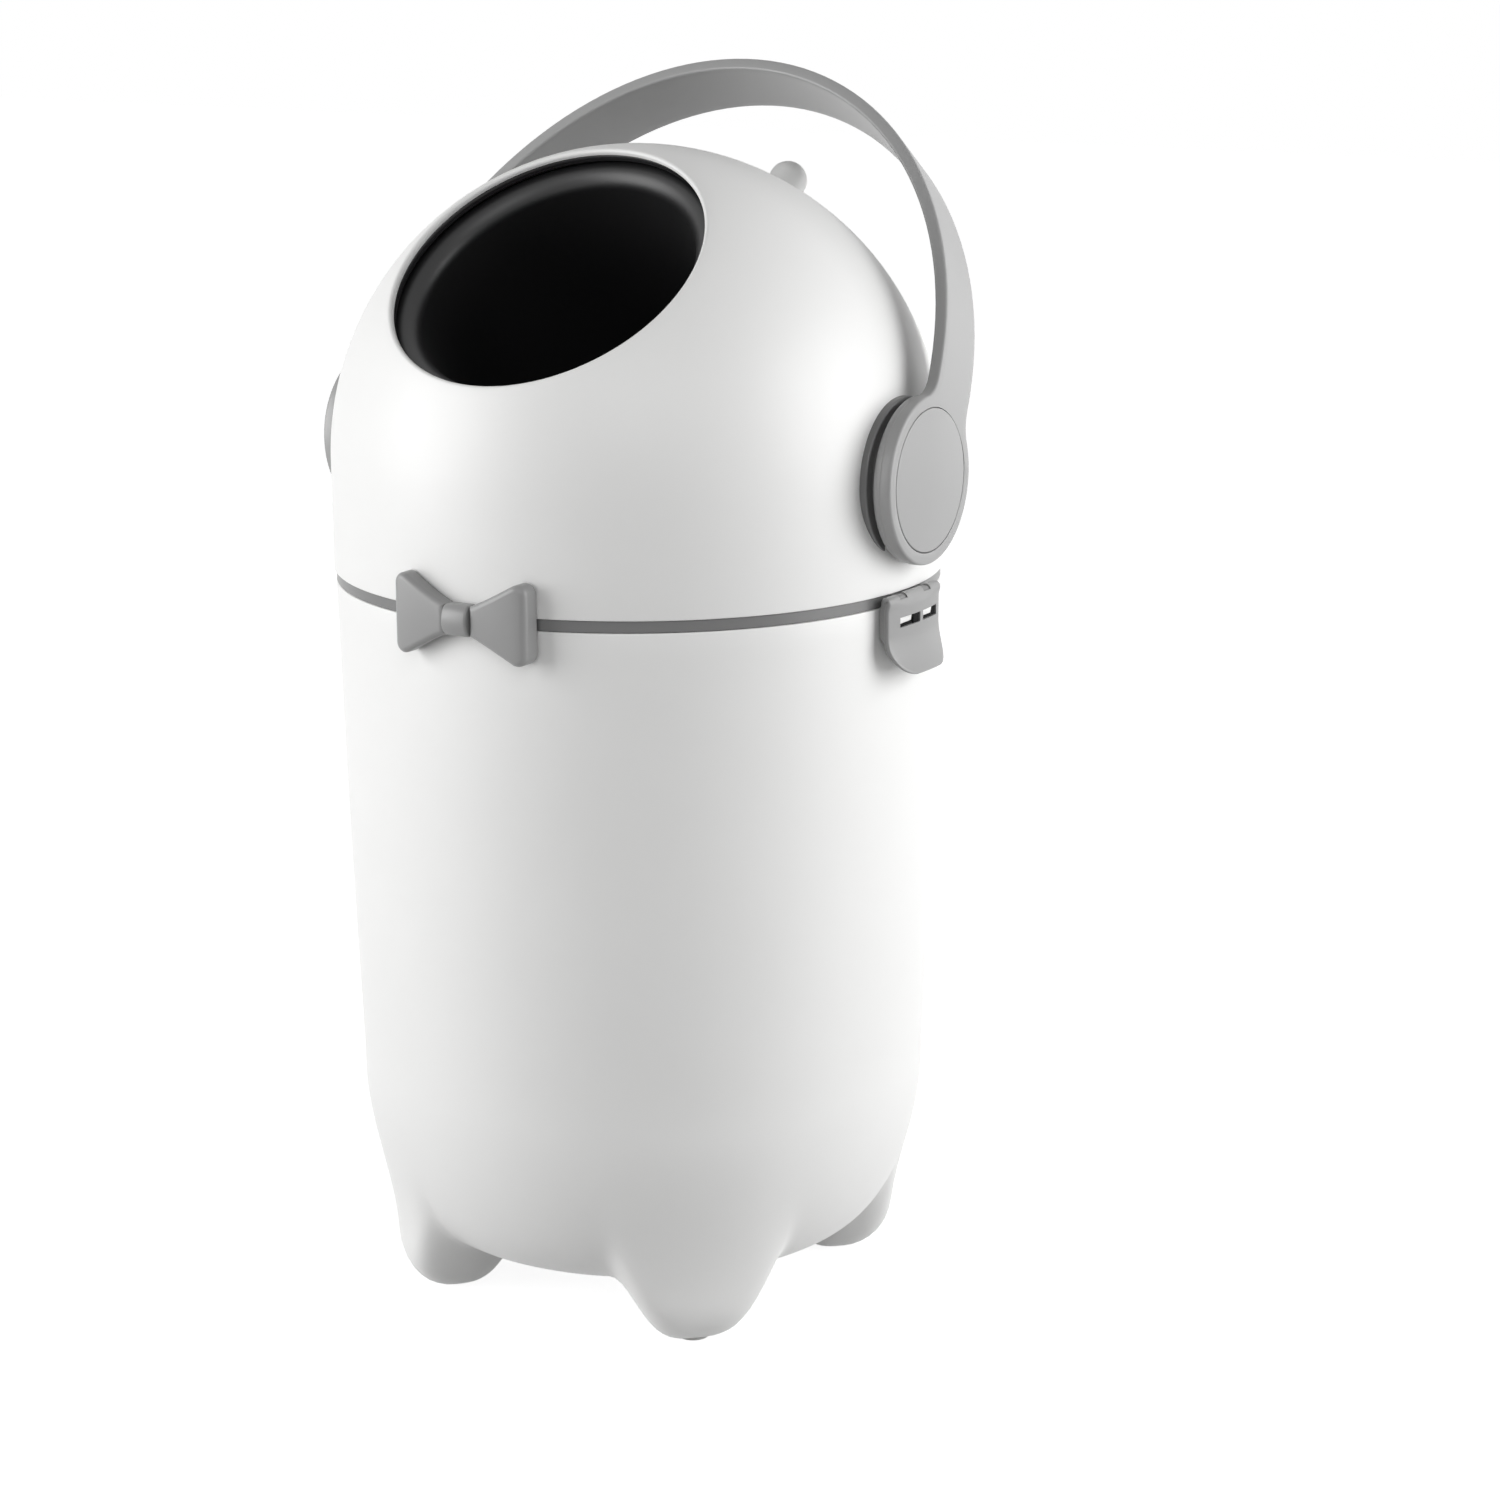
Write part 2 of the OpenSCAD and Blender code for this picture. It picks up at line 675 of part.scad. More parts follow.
// Upper edge of the right wing seen from the front, from the knot to the rounded outer corner
function wing_edge() =
    let (span = bow_half_w - knot_half_w, rise = bow_half_h - bow_waist_h,
         slope = atan(wing_curve * rise / span),
         middle = [bow_half_w - bow_corner_r, bow_half_h - bow_corner_r * (1 + sin(slope)) / cos(slope)])
    concat([for (i = [0:profile_steps]) let (t = wing_share * i / profile_steps)
            [knot_half_w + span * t, bow_waist_h + rise * pow(t, wing_curve)]],
        [for (i = [0:profile_steps]) let (a = (90 + slope) * (1 - i / profile_steps))
            middle + bow_corner_r * [cos(a), sin(a)]]);

// Outline of the bow seen from the front, about its own middle
module bow_outline() {
    edge = wing_edge();
    last = len(edge) - 1;
    polygon(concat(edge, [for (i = [last:-1:0]) [edge[i][0], -edge[i][1]]],
        [for (p = edge) -p], [for (i = [last:-1:0]) [-edge[i][0], edge[i][1]]]));
}

// A band round the bucket's axis, cut to an outline seen from the front
module front_band(in_r, out_r) {
    intersection() {
        difference() {
            cylinder(r = out_r, h = axis_z);
            translate([0, 0, -overrun]) cylinder(r = in_r, h = axis_z + 2 * overrun);
        }
        translate([0, 0, bow_z]) rotate([90, 0, 0]) linear_extrude(height = 2 * body_r) children();
    }
}

module bow_wings() {
    color(grey) difference() {
        front_band(bow_in_r, bow_out_r) bow_outline();
        front_band(bow_in_r + bow_web_t, bow_out_r + overrun)
            square([2 * knot_half_w + loose_gap, 3 * bow_waist_h], center = true);
        at_bow_screws() screw_hole(bow_screw, bow_screw_len + overrun);
    }
}

module bow_knot() {
    color(grey) difference() {
        front_band(bow_in_r + seat_gap, knot_out_r) intersection() {
            square([2 * knot_half_w, 2 * knot_half_h], center = true);
            rotate(45) square(2 * (knot_half_w + knot_half_h - knot_edge) / sqrt(2), center = true);
        }
        front_band(bow_in_r, bow_in_r + bow_web_t + bow_screw[2] + seat_gap)
            square([2 * (knot_half_w + overrun), 2 * (bow_waist_h + seat_gap)], center = true);
        front_band(bow_in_r, knot_out_r - knot_wall)
            square([2 * (knot_half_w - knot_wall), 2 * (knot_half_h - knot_wall)], center = true);
    }
}

module bow_screws() {
    color(steel) at_bow_screws() screw(bow_screw, bow_screw_len);
}

module latch_pin_right() {
    color(steel) translate([pin_x, pin_len / 2, pin_z]) rotate([90, 0, 0])
        cylinder(r = pin_r, h = pin_len);
}

module latch_pin_left() {
    mirror([1, 0, 0]) latch_pin_right();
}

// Section of a latch's face: a soft cove under the hinge, a straight face and a flared lip
function latch_face() = concat(
    [for (i = [cove_first_step:profile_steps]) let (t = i / profile_steps)
        [latch_r - latch_cove_w * (1 - soft(t)), latch_top_z - latch_cove_h * t]],
    [for (i = [0:profile_steps]) let (t = i / profile_steps)
        [latch_r + latch_lip * t * t, latch_low_z + latch_lip_h * (1 - t)]]);

module latch_right() {
    face = latch_face();
    back = [for (i = [len(face) - 1:-1:0]) face[i] - [latch_t, 0]];
    half_w = latch_w / 2;
    color(grey) difference() {
        union() {
            intersection() {
                union() {
                    rotate_extrude() polygon(concat(face, back));
                    difference() {
                        translate([0, 0, latch_low_z]) difference() {
                            cylinder(r = latch_r - latch_t / 2, h = pin_z - barrel_r - latch_low_z);
                            translate([0, 0, -overrun]) cylinder(r = latch_side_in_r, h = latch_h);
                        }
                        translate([0, latch_side_t - half_w, 0])
                            cube([2 * body_r, latch_w - 2 * latch_side_t, axis_z]);
                    }
                }
                translate([0, 0, latch_top_z]) rotate([90, 0, 90]) linear_extrude(height = 2 * body_r)
                    polygon(concat([[half_w, 0], [-half_w, 0]],
                        [for (a = [180:15:270]) [latch_corner_r - half_w + latch_corner_r * cos(a),
                            latch_corner_r - latch_h + latch_corner_r * sin(a)]],
                        [for (a = [270:15:360]) [half_w - latch_corner_r + latch_corner_r * cos(a),
                            latch_corner_r - latch_h + latch_corner_r * sin(a)]]));
            }
            translate([0, half_w, 0]) rotate([90, 0, 0]) linear_extrude(height = latch_w) {
                translate([pin_x, pin_z]) circle(r = barrel_r);
                polygon([[pin_x - barrel_r / 2, pin_z],
                    [pin_x + barrel_r * cos(rib_turn), pin_z + barrel_r * sin(rib_turn)],
                    [latch_r - latch_t / 2, latch_top_z - latch_cove_h * rib_share],
                    [pin_x, latch_top_z - latch_cove_h * rib_share]]);
            }
        }
        translate([pin_x, half_w + overrun, pin_z]) rotate([90, 0, 0])
            cylinder(r = pin_r + pin_play, h = latch_w + 2 * overrun);
        for (y = [-hinge_lug_y, hinge_lug_y]) translate([pin_x, y + hinge_lug_w / 2 + hinge_side_gap, pin_z]) {
            rotate([90, 0, 0]) cylinder(r = barrel_r + loose_gap, h = hinge_lug_w + 2 * hinge_side_gap);
            translate([-2 * barrel_r, -hinge_lug_w - 2 * hinge_side_gap, -hinge_lug_r - hinge_side_gap])
                cube([2 * barrel_r, hinge_lug_w + 2 * hinge_side_gap, 3 * barrel_r]);
        }
        for (span = window_spans) translate([belt_r, span[0], window_z])
            cube([2 * latch_out, span[1] - span[0], window_h]);
    }
}

module latch_left() {
    mirror([1, 0, 0]) latch_right();
}

// The drum: a ball cut flat on both sides
module drum_form(r, half_w) {
    intersection() {
        translate([0, 0, axis_z]) sphere(r = r);
        translate([-half_w, -2 * r, axis_z - 2 * r]) cube([2 * half_w, 4 * r, 4 * r]);
    }
}

module at_trunnion_screws() {
    for (i = [0:trunnion_screw_count - 1])
        translate([drum_half_w - drum_wall, 0, axis_z])
            rotate([opening_tilt + 360 * (i + 0.5) / trunnion_screw_count, 0, 0])
                translate([-trunnion_screw[2], 0, trunnion_screw_circle]) rotate([0, 90, 0]) children();
}

// Half of the drum's shell, on the side of the cup (1) or away from it (-1)
module drum_half(side) {
    difference() {
        drum_form(drum_r, drum_half_w);
        drum_form(drum_r - drum_wall, drum_half_w - drum_wall);
        on_opening_axis() translate([-2 * drum_r, -2 * drum_r, side > 0 ? -4 * drum_r : 0]) cube(4 * drum_r);
        on_opening_axis() cylinder(r = mouth_r + mouth_gap, h = side > 0 ? 2 * drum_r : overrun);
        for (m = [0, 1]) mirror([m, 0, 0]) at_trunnion_screws()
            cylinder(r = trunnion_screw[0] + screw_play / 2, h = trunnion_screw_len + overrun);
    }
}

module drum_shell_upper() {
    color(grey) drum_half(1);
}

module drum_shell_lower() {
    color(grey) drum_half(-1);
}

module drum_cup() {
    base_z = -cup_floor - cup_wall;
    color(black) on_opening_axis() rotate_extrude() polygon([
        [cup_low_r - cup_ledge_w, base_z - cup_ledge_t], [cup_low_r - cup_ledge_w, base_z],
        [cup_low_r, base_z], [cup_low_r, -cup_floor], [cup_r, cup_lip_z], [cup_r + cup_wall, cup_lip_z],
        [cup_low_r + cup_wall, -cup_floor], [cup_low_r + cup_wall, base_z - cup_ledge_t]]);
}

// Rolled lip of the cup's moulding, with the shoulder that closes the drum's shell
module cup_rim() {
    lip_x = cup_r + cup_lip_r;
    lip_z = cup_lip_z;
    lip_end = 90 - asin(lip_x / (drum_r - cup_lip_r));
    shoulder_r = min(mouth_r + cup_shoulder_w, drum_half_w - drum_wall - loose_gap);
    under_r = drum_r - drum_wall - seat_gap;
    color(black) on_opening_axis() rotate_extrude() polygon(concat(
        [for (i = [0:2 * arc_step]) let (a = 180 - (180 - lip_end) * i / (2 * arc_step))
            [lip_x + cup_lip_r * cos(a), lip_z + cup_lip_r * sin(a)]],
        [for (p = arc_points(drum_r, drum_r * cos(lip_end), mouth_r))
            if (p[0] > drum_r * cos(lip_end) + seat_gap) p],
        arc_points(under_r, mouth_r, shoulder_r),
        arc_points(under_r - cup_shoulder_t, shoulder_r, lip_x),
        [[cup_r + cup_wall, lip_z]]));
}

// Disc that closes the cup, seated on the ledge inside its wall
module cup_base() {
    color(black) on_opening_axis() translate([0, 0, -cup_floor - cup_wall])
        cylinder(r = cup_low_r, h = cup_wall);
}

module trunnion_right() {
    tip_x = handle_half_w - hub_t + socket_depth;
    color(dark_grey) difference() {
        translate([drum_half_w, 0, axis_z]) rotate([0, 90, 0]) {
            cylinder(r = trunnion_flange_r, h = trunnion_flange_t);
            cylinder(r = trunnion_r, h = tip_x - drum_half_w);
            translate([0, 0, sleeve_in_x - drum_half_w - washer_t - washer_gap - collar_t])
                cylinder(r = collar_r, h = collar_t);
        }
        at_trunnion_screws()
            cylinder(r = trunnion_screw[0] + screw_play / 2, h = trunnion_screw_len + overrun);
        at_hub_screws() cylinder(r = hub_screw[0] + screw_play / 2, h = hub_screw_depth + overrun);
    }
}

module trunnion_left() {
    mirror([1, 0, 0]) trunnion_right();
}

module trunnion_screws() {
    color(steel) for (m = [0, 1]) mirror([m, 0, 0]) at_trunnion_screws()
        screw(trunnion_screw, trunnion_screw_len - overrun);
}

module thrust_washers() {
    color(black) for (m = [0, 1]) mirror([m, 0, 0])
        translate([sleeve_in_x - washer_t - washer_gap / 2, 0, axis_z]) rotate([0, 90, 0]) difference() {
            cylinder(r = collar_r, h = washer_t);
            translate([0, 0, -overrun]) cylinder(r = trunnion_r + loose_gap, h = washer_t + 2 * overrun);
        }
}

// Places a screw through the hub into the trunnion, head outwards
module at_hub_screws() {
    for (i = [0:hub_screw_count - 1])
        translate([handle_half_w - cap_t - seat_gap, 0, axis_z])
            rotate([360 * i / hub_screw_count - handle_back, 0, 0])
                translate([0, 0, hub_screw_circle]) rotate([0, -90, 0]) children();
}

// Points of the arch seen from the front, for a face set in from the outside
function arch_points(inset) = [for (i = [0:arch_steps]) let (a = 180 * i / arch_steps)
    [(handle_half_w - inset) * cos(a), leg_straight + (handle_reach - leg_straight - inset) * sin(a)]];

// The arch with its legs and the thicker hubs, seen from the front
module arch_outline() {
    foot = -hub_r - overrun;
    thick = handle_half_w - hub_t;
    arch = arch_points(strap_t);
    inner = [for (p = arch) if (p[1] > hub_r + hub_t) p];
    polygon(concat([[handle_half_w, foot]], arch_points(0),
        [[-handle_half_w, foot], [-thick, foot], [-thick, hub_r]],
        [for (i = [len(inner) - 1:-1:0]) inner[i]], [[thick, hub_r], [thick, foot]]));
}

// Right half of the outline of strap and hub seen from the side, from the top down
function side_half() =
    let (half = strap_w / 2, far = half + hub_fillet, up = sqrt(pow(hub_r + hub_fillet, 2) - pow(far, 2)),
         turn = atan2(up, far))
    concat([[half, handle_reach + overrun]],
        [for (i = [0:side_steps]) let (a = 180 + turn * i / side_steps)
            [far + hub_fillet * cos(a), up + hub_fillet * sin(a)]],
        [for (i = [1:4 * side_steps])
            let (a = turn - (turn + 90) * i / (4 * side_steps)) hub_r * [cos(a), sin(a)]]);

module side_outline() {
    half = side_half();
    polygon(concat(half, [for (i = [len(half) - 2:-1:0]) [-half[i][0], half[i][1]]]));
}

// Groove in the hub for the bearing's stop lug, from the rest position round to the closed one
module stop_track() {
    margin = asin(stop_r / stop_track_r) + stop_play;
    half_w = stop_r + track_play;
    rotate([0, 90, 0]) rotate([0, 0, stop_angle - 180 - handle_turn - margin])
        rotate_extrude(angle = handle_turn + 2 * margin)
            translate([stop_track_r - half_w, -overrun]) square([2 * half_w, stop_h + track_play + overrun]);
}

module hub_inside() {
    in_x = handle_half_w - hub_t;
    translate([in_x, 0, 0]) {
        rotate([0, 90, 0]) translate([0, 0, -overrun])
            cylinder(r = trunnion_r + seat_gap, h = socket_depth + overrun);
        stop_track();
    }
    translate([handle_half_w - cap_t - seat_gap, 0, 0]) rotate([0, 90, 0])
        cylinder(r = cap_r + cap_play, h = 2 * cap_t);
}

module handle() {
    color(grey) translate([0, 0, axis_z]) difference() {
        rotate([-handle_back, 0, 0]) intersection() {
            translate([0, hub_r + overrun, 0]) rotate([90, 0, 0])
                linear_extrude(height = 2 * (hub_r + overrun)) arch_outline();
            translate([-handle_half_w - overrun, 0, 0]) rotate([90, 0, 90])
                linear_extrude(height = 2 * (handle_half_w + overrun)) side_outline();
        }
        for (m = [0, 1]) mirror([m, 0, 0]) {
            hub_inside();
            translate([0, 0, -axis_z]) at_hub_screws() screw_hole(hub_screw, 2 * hub_t);
        }
    }
}

module hub_cap_right() {
    color(grey) translate([handle_half_w - cap_t, 0, axis_z]) rotate([0, 90, 0])
        cylinder(r = cap_r, h = cap_t);
}

module hub_cap_left() {
    mirror([1, 0, 0]) hub_cap_right();
}

module hub_screws() {
    color(steel) for (m = [0, 1]) mirror([m, 0, 0]) at_hub_screws() screw(hub_screw, hub_screw_depth);
}

bin_body();
foot_pads();
bag_ring();
belt_ring();
rim_seal();
dome_shell();
dome_base();
opening_seal();
bearing_ring_left();
bearing_ring_right();
bearing_screws();
ring_screws();
bow_wings();
bow_knot();
bow_screws();
latch_pin_left();
latch_pin_right();
latch_left();
latch_right();
drum_shell_upper();
drum_shell_lower();
drum_cup();
cup_rim();
cup_base();
trunnion_left();
trunnion_right();
trunnion_screws();
thrust_washers();
handle();
hub_cap_left();
hub_cap_right();
hub_screws();
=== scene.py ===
"""Looks of a nappy bin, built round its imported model: white moulded shells, grey trim and a black cup.

Every new piece is modelled in metres in the model's own frame, +Z up and -Y to the front.
"""

import json
import logging
import math
from contextlib import contextmanager
from dataclasses import dataclass
from enum import Enum
from typing import Any, Callable, Iterator

import bmesh
import bpy
from mathutils import Matrix, Vector


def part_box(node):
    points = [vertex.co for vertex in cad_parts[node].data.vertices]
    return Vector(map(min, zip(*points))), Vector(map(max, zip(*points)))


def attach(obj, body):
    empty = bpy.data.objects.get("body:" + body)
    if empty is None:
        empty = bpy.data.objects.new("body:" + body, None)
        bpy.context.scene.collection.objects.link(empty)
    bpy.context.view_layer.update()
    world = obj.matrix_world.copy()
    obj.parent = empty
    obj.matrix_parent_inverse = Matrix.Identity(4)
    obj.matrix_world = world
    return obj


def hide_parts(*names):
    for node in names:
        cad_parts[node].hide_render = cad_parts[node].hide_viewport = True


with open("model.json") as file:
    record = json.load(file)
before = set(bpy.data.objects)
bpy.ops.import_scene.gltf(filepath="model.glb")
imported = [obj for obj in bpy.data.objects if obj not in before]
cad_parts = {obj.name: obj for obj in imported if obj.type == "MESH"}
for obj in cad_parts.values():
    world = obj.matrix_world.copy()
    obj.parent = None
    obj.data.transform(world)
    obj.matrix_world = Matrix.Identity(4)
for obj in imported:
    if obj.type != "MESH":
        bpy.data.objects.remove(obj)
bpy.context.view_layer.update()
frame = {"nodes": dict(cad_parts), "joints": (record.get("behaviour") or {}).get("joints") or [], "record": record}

LOG = logging.getLogger("nappy_bin")
MM = 0.001
TINY = 0.01 * MM
NEAR = 5 * TINY
QUARTER = math.pi / 2
# Faces round a turned piece, and round one whose edge shows close up
ROUND = 128
FINE_ROUND = 160
# Angle in degrees past which an edge stays sharp
SMOOTH_TURN = 32
WHITE = "#FFFFFF"
Outline = list[tuple[float, float]]


class Side(Enum):
    """The two sides of the bin, as the sign of X."""

    LEFT = -1
    RIGHT = 1

    @property
    def word(self) -> str:
        """The side's name in small letters."""
        return self.name.lower()

    def facing(self, height: float) -> Matrix:
        """Turns a form made along Z so that it points out of this side, at a height above the floor."""
        return Matrix.Translation((0, 0, height)) @ Matrix.Rotation(self.value * QUARTER, 4, "Y")


@dataclass(frozen=True)
class Measures:
    """Driving sizes of the bin in metres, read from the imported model."""

    head_r: float
    seam_z: float
    rim_z: float
    axis_z: float
    handle_x: float
    belt_r: float
    pin: Vector

    @classmethod
    def from_model(cls) -> "Measures":
        """Reads the boxes of the main nodes and the places of the joints.

        Returns:
            The sizes that the new pieces are worked out from.
        """
        joints = {joint["name"]: joint for joint in frame["joints"]}
        ring_flange = 0.8 * MM
        return cls(
            head_r=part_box("dome_base")[1].x,
            seam_z=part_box("dome_base")[0].z,
            rim_z=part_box("bag_ring")[1].z - ring_flange,
            axis_z=joints["handle_turn"]["pos_m"][2],
            handle_x=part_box("handle")[1].x,
            belt_r=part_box("belt_ring")[1].y,
            pin=Vector(joints["latch_right_swing"]["pos_m"]),
        )


# Modelling steps


def take(piece: bpy.types.Object) -> None:
    """Selects one piece alone and makes it the active one.

    Args:
        piece: the piece that the next operator acts on.
    """
    bpy.ops.object.select_all(action="DESELECT")
    bpy.context.view_layer.objects.active = piece
    piece.select_set(True)


@contextmanager
def editing(piece: bpy.types.Object) -> Iterator[None]:
    """Opens one piece alone in edit mode, with nothing selected in it, and closes it at the end.

    Args:
        piece: the mesh object to work on.

    Yields:
        None, while the piece is open.
    """
    take(piece)
    bpy.ops.object.mode_set(mode="EDIT")
    bpy.context.tool_settings.mesh_select_mode = (True, False, False)
    bpy.ops.mesh.select_all(action="DESELECT")
    yield
    bpy.ops.object.mode_set(mode="OBJECT")


def pick(piece: bpy.types.Object, kind: str, test: Callable[[Any], bool]) -> None:
    """Selects the elements of an open mesh that pass a test, and nothing else.

    Args:
        piece: the object in edit mode.
        kind: verts, edges or faces.
        test: says of one element whether it is picked.
    """
    bpy.context.tool_settings.mesh_select_mode = (kind == "verts", kind == "edges", kind == "faces")
    bpy.ops.mesh.select_all(action="DESELECT")
    mesh = bmesh.from_edit_mesh(piece.data)
    for element in getattr(mesh, kind):
        if test(element):
            element.select_set(True)
    bmesh.update_edit_mesh(piece.data)


def ends(test: Callable[[Vector], bool]) -> Callable[[Any], bool]:
    """Makes a test for edges or faces from one for places, which all corners have to pass."""
    return lambda element: all(test(vert.co) for vert in element.verts)


def named(name: str) -> bpy.types.Object:
    """Names the primitive that was just added, and its mesh.

    Args:
        name: the name of both.

    Returns:
        The piece.
    """
    piece = bpy.context.object
    piece.name = piece.data.name = name
    return piece


def tidy(piece: bpy.types.Object) -> bpy.types.Object:
    """Merges doubled points and turns all faces outwards.

    Args:
        piece: the piece to clean.

    Returns:
        The same piece.
    """
    with editing(piece):
        bpy.ops.mesh.select_all(action="SELECT")
        bpy.ops.mesh.remove_doubles(threshold=TINY)
        bpy.ops.mesh.normals_make_consistent(inside=False)
    return piece


def place(piece: bpy.types.Object, matrix: Matrix) -> bpy.types.Object:
    """Moves a piece's mesh, so that its object stays at the origin."""
    piece.data.transform(matrix)
    return tidy(piece) if matrix.determinant() < 0 else piece


def finish_with(piece: bpy.types.Object, kind: str, **settings: Any) -> bpy.types.Object:
    """Adds a modifier to a piece, sets it and applies it.

    Args:
        piece: the piece to finish.
        kind: the modifier's type.
        settings: the modifier's own properties.

    Returns:
        The same piece.
    """
    take(piece)
    modifier = piece.modifiers.new(kind.title(), kind)
    for name, value in settings.items():
        setattr(modifier, name, value)
    bpy.ops.object.modifier_apply(modifier=modifier.name)
    return piece


def round_edges(piece: bpy.types.Object, radius: float, segments: int = 3,
                sharper: float = 50) -> bpy.types.Object:
    """Rounds every edge of a piece that is sharper than an angle in degrees."""
    return finish_with(piece, "BEVEL", width=radius, segments=segments, limit_method="ANGLE",
                       angle_limit=math.radians(sharper), use_clamp_overlap=False)


def thicken(piece: bpy.types.Object, wall: float) -> bpy.types.Object:
    """Gives a skin its wall on the inside."""
    return finish_with(piece, "SOLIDIFY", thickness=wall, offset=-1, use_even_offset=True)


def cut(piece: bpy.types.Object, *cutters: bpy.types.Object) -> bpy.types.Object:
    """Takes closed forms out of a piece and deletes them.

    Args:
        piece: the piece that is cut.
        cutters: the closed forms.

    Returns:
        The cut piece.
    """
    for cutter in cutters:
        finish_with(piece, "BOOLEAN", operation="DIFFERENCE", solver="EXACT", object=cutter)
        bpy.data.meshes.remove(cutter.data)
    return piece


def join(piece: bpy.types.Object, *others: bpy.types.Object) -> bpy.types.Object:
    """Joins pieces of one moulding into the first of them.

    Args:
        piece: the piece that keeps its name.
        others: the pieces that join it.

    Returns:
        The joined piece.
    """
    take(piece)
    for other in others:
        other.select_set(True)
    bpy.ops.object.join()
    return piece


def outwards(piece: bpy.types.Object, inside: Vector) -> bpy.types.Object:
    """Turns the faces of an open skin away from a point inside it.

    Args:
        piece: the skin.
        inside: the point.

    Returns:
        The same piece.
    """
    lean = sum((face.center - inside).dot(face.normal) * face.area for face in piece.data.polygons)
    if lean < 0:
        with editing(piece):
            bpy.ops.mesh.select_all(action="SELECT")
            bpy.ops.mesh.flip_normals()
    return piece


# Forms


def arc(middle: tuple[float, float], radius: float, start: float, end: float, steps: int) -> Outline:
    """Points of an arc round a middle, from one angle in degrees to another, with both ends."""
    angles = (math.radians(start + (end - start) * i / steps) for i in range(steps + 1))
    return [(middle[0] + radius * math.cos(a), middle[1] + radius * math.sin(a)) for a in angles]


def filled(stops: list[float], pitch: float) -> list[float]:
    """Fills the gaps between given values with even steps.

    Args:
        stops: values in order, which are all kept.
        pitch: the longest step.

    Returns:
        The values with the steps between them.
    """
    slack = 0.01
    values = [stops[0]]
    for near, far in zip(stops, stops[1:]):
        count = max(1, math.ceil((far - near) / pitch - slack))
        values += [near + (far - near) * i / count for i in range(1, count + 1)]
    return values


def drawn(name: str, outline: Outline) -> bpy.types.Object:
    """Draws a chain of edges in the XZ plane, point by point.

    Args:
        name: the piece's name.
        outline: its points as x and z.

    Returns:
        The piece, a wire at its place.
    """
    bpy.ops.object.select_all(action="DESELECT")
    bpy.ops.mesh.primitive_plane_add(size=MM)
    piece = named(name)
    with editing(piece):
        bpy.ops.mesh.select_all(action="SELECT")
        bpy.ops.mesh.merge(type="CENTER")
        bpy.ops.transform.translate(value=(outline[0][0], 0, outline[0][1]))
        for near, far in zip(outline, outline[1:]):
            step = (far[0] - near[0], 0, far[1] - near[1])
            bpy.ops.mesh.extrude_region_move(TRANSFORM_OT_translate={"value": step})
    return piece


def turned(name: str, outline: Outline, steps: int) -> bpy.types.Object:
    """Turns an outline once round Z, as on a lathe.

    Args:
        name: the piece's name.
        outline: points as radius and height.
        steps: number of faces round the axis.

    Returns:
        The turned piece.
    """
    piece = drawn(name, outline)
    with editing(piece):
        bpy.ops.mesh.select_all(action="SELECT")
        bpy.ops.mesh.spin(steps=steps, angle=math.tau, center=(0, 0, 0), axis=(0, 0, 1))
    return tidy(piece)


def pressed(name: str, outline: Outline, start: float, end: float) -> bpy.types.Object:
    """Fills a closed outline in the XZ plane and extrudes it along Y.

    Args:
        name: the piece's name.
        outline: points as x and z, the first not repeated.
        start: where it begins along Y.
        end: where it ends along Y.

    Returns:
        The solid piece.
    """
    piece = drawn(name, outline)
    with editing(piece):
        bpy.ops.mesh.select_all(action="SELECT")
        bpy.ops.mesh.edge_face_add()
        bpy.ops.transform.translate(value=(0, start, 0))
        bpy.ops.mesh.extrude_region_move(TRANSFORM_OT_translate={"value": (0, end - start, 0)})
    return tidy(piece)


def laid(name: str, columns: int, rows: int, spot: Callable[[float, float], Vector]) -> bpy.types.Object:
    """Adds a grid and lays each of its points on a surface.

    Args:
        name: the piece's name.
        columns: number of faces along u.
        rows: number of faces along v.
        spot: gives the place of a point from u and v, which run from 0 to 1.

    Returns:
        The open skin.
    """
    bpy.ops.object.select_all(action="DESELECT")
    bpy.ops.mesh.primitive_grid_add(x_subdivisions=columns, y_subdivisions=rows, size=1)
    piece = named(name)
    for vert in piece.data.vertices:
        vert.co = spot(vert.co.x + 0.5, vert.co.y + 0.5)
    return tidy(piece)


def walled(name: str, columns: list[float], rows: list[Any], spot: Callable[[float, Any, bool], Vector],
           is_open: Callable[[Vector], bool]) -> bpy.types.Object:
    """Lays a grid on a surface, opens it in places and draws it back to the far side of its wall.

    Args:
        name: the piece's name.
        columns: a value for each line of points across.
        rows: a value or record for each line of points upwards.
        spot: gives the place of a point from its column and row, on the front or on the back.
        is_open: whether the face round a place on the front is left out.

    Returns:
        The closed piece.
    """
    def at(u: float, v: float, back: bool) -> Vector:
        """Place of the grid's point at u and v, on the front or on the back."""
        return spot(columns[round(u * (len(columns) - 1))], rows[round(v * (len(rows) - 1))], back)

    piece = laid(name, len(columns) - 1, len(rows) - 1, lambda u, v: at(u, v, False))
    with editing(piece):
        pick(piece, "faces", lambda face: is_open(face.calc_center_median()))
        bpy.ops.mesh.delete(type="FACE")
        bpy.ops.mesh.select_all(action="SELECT")
        bpy.ops.mesh.extrude_region_move(TRANSFORM_OT_translate={"value": (0, 0, 0)})
        mesh = bmesh.from_edit_mesh(piece.data)
        grid = mesh.loops.layers.uv.active
        for vert in mesh.verts:
            if not vert.select:
                u, v = vert.link_loops[0][grid].uv
                vert.co = at(u, v, True)
        bmesh.update_edit_mesh(piece.data)
    return tidy(piece)


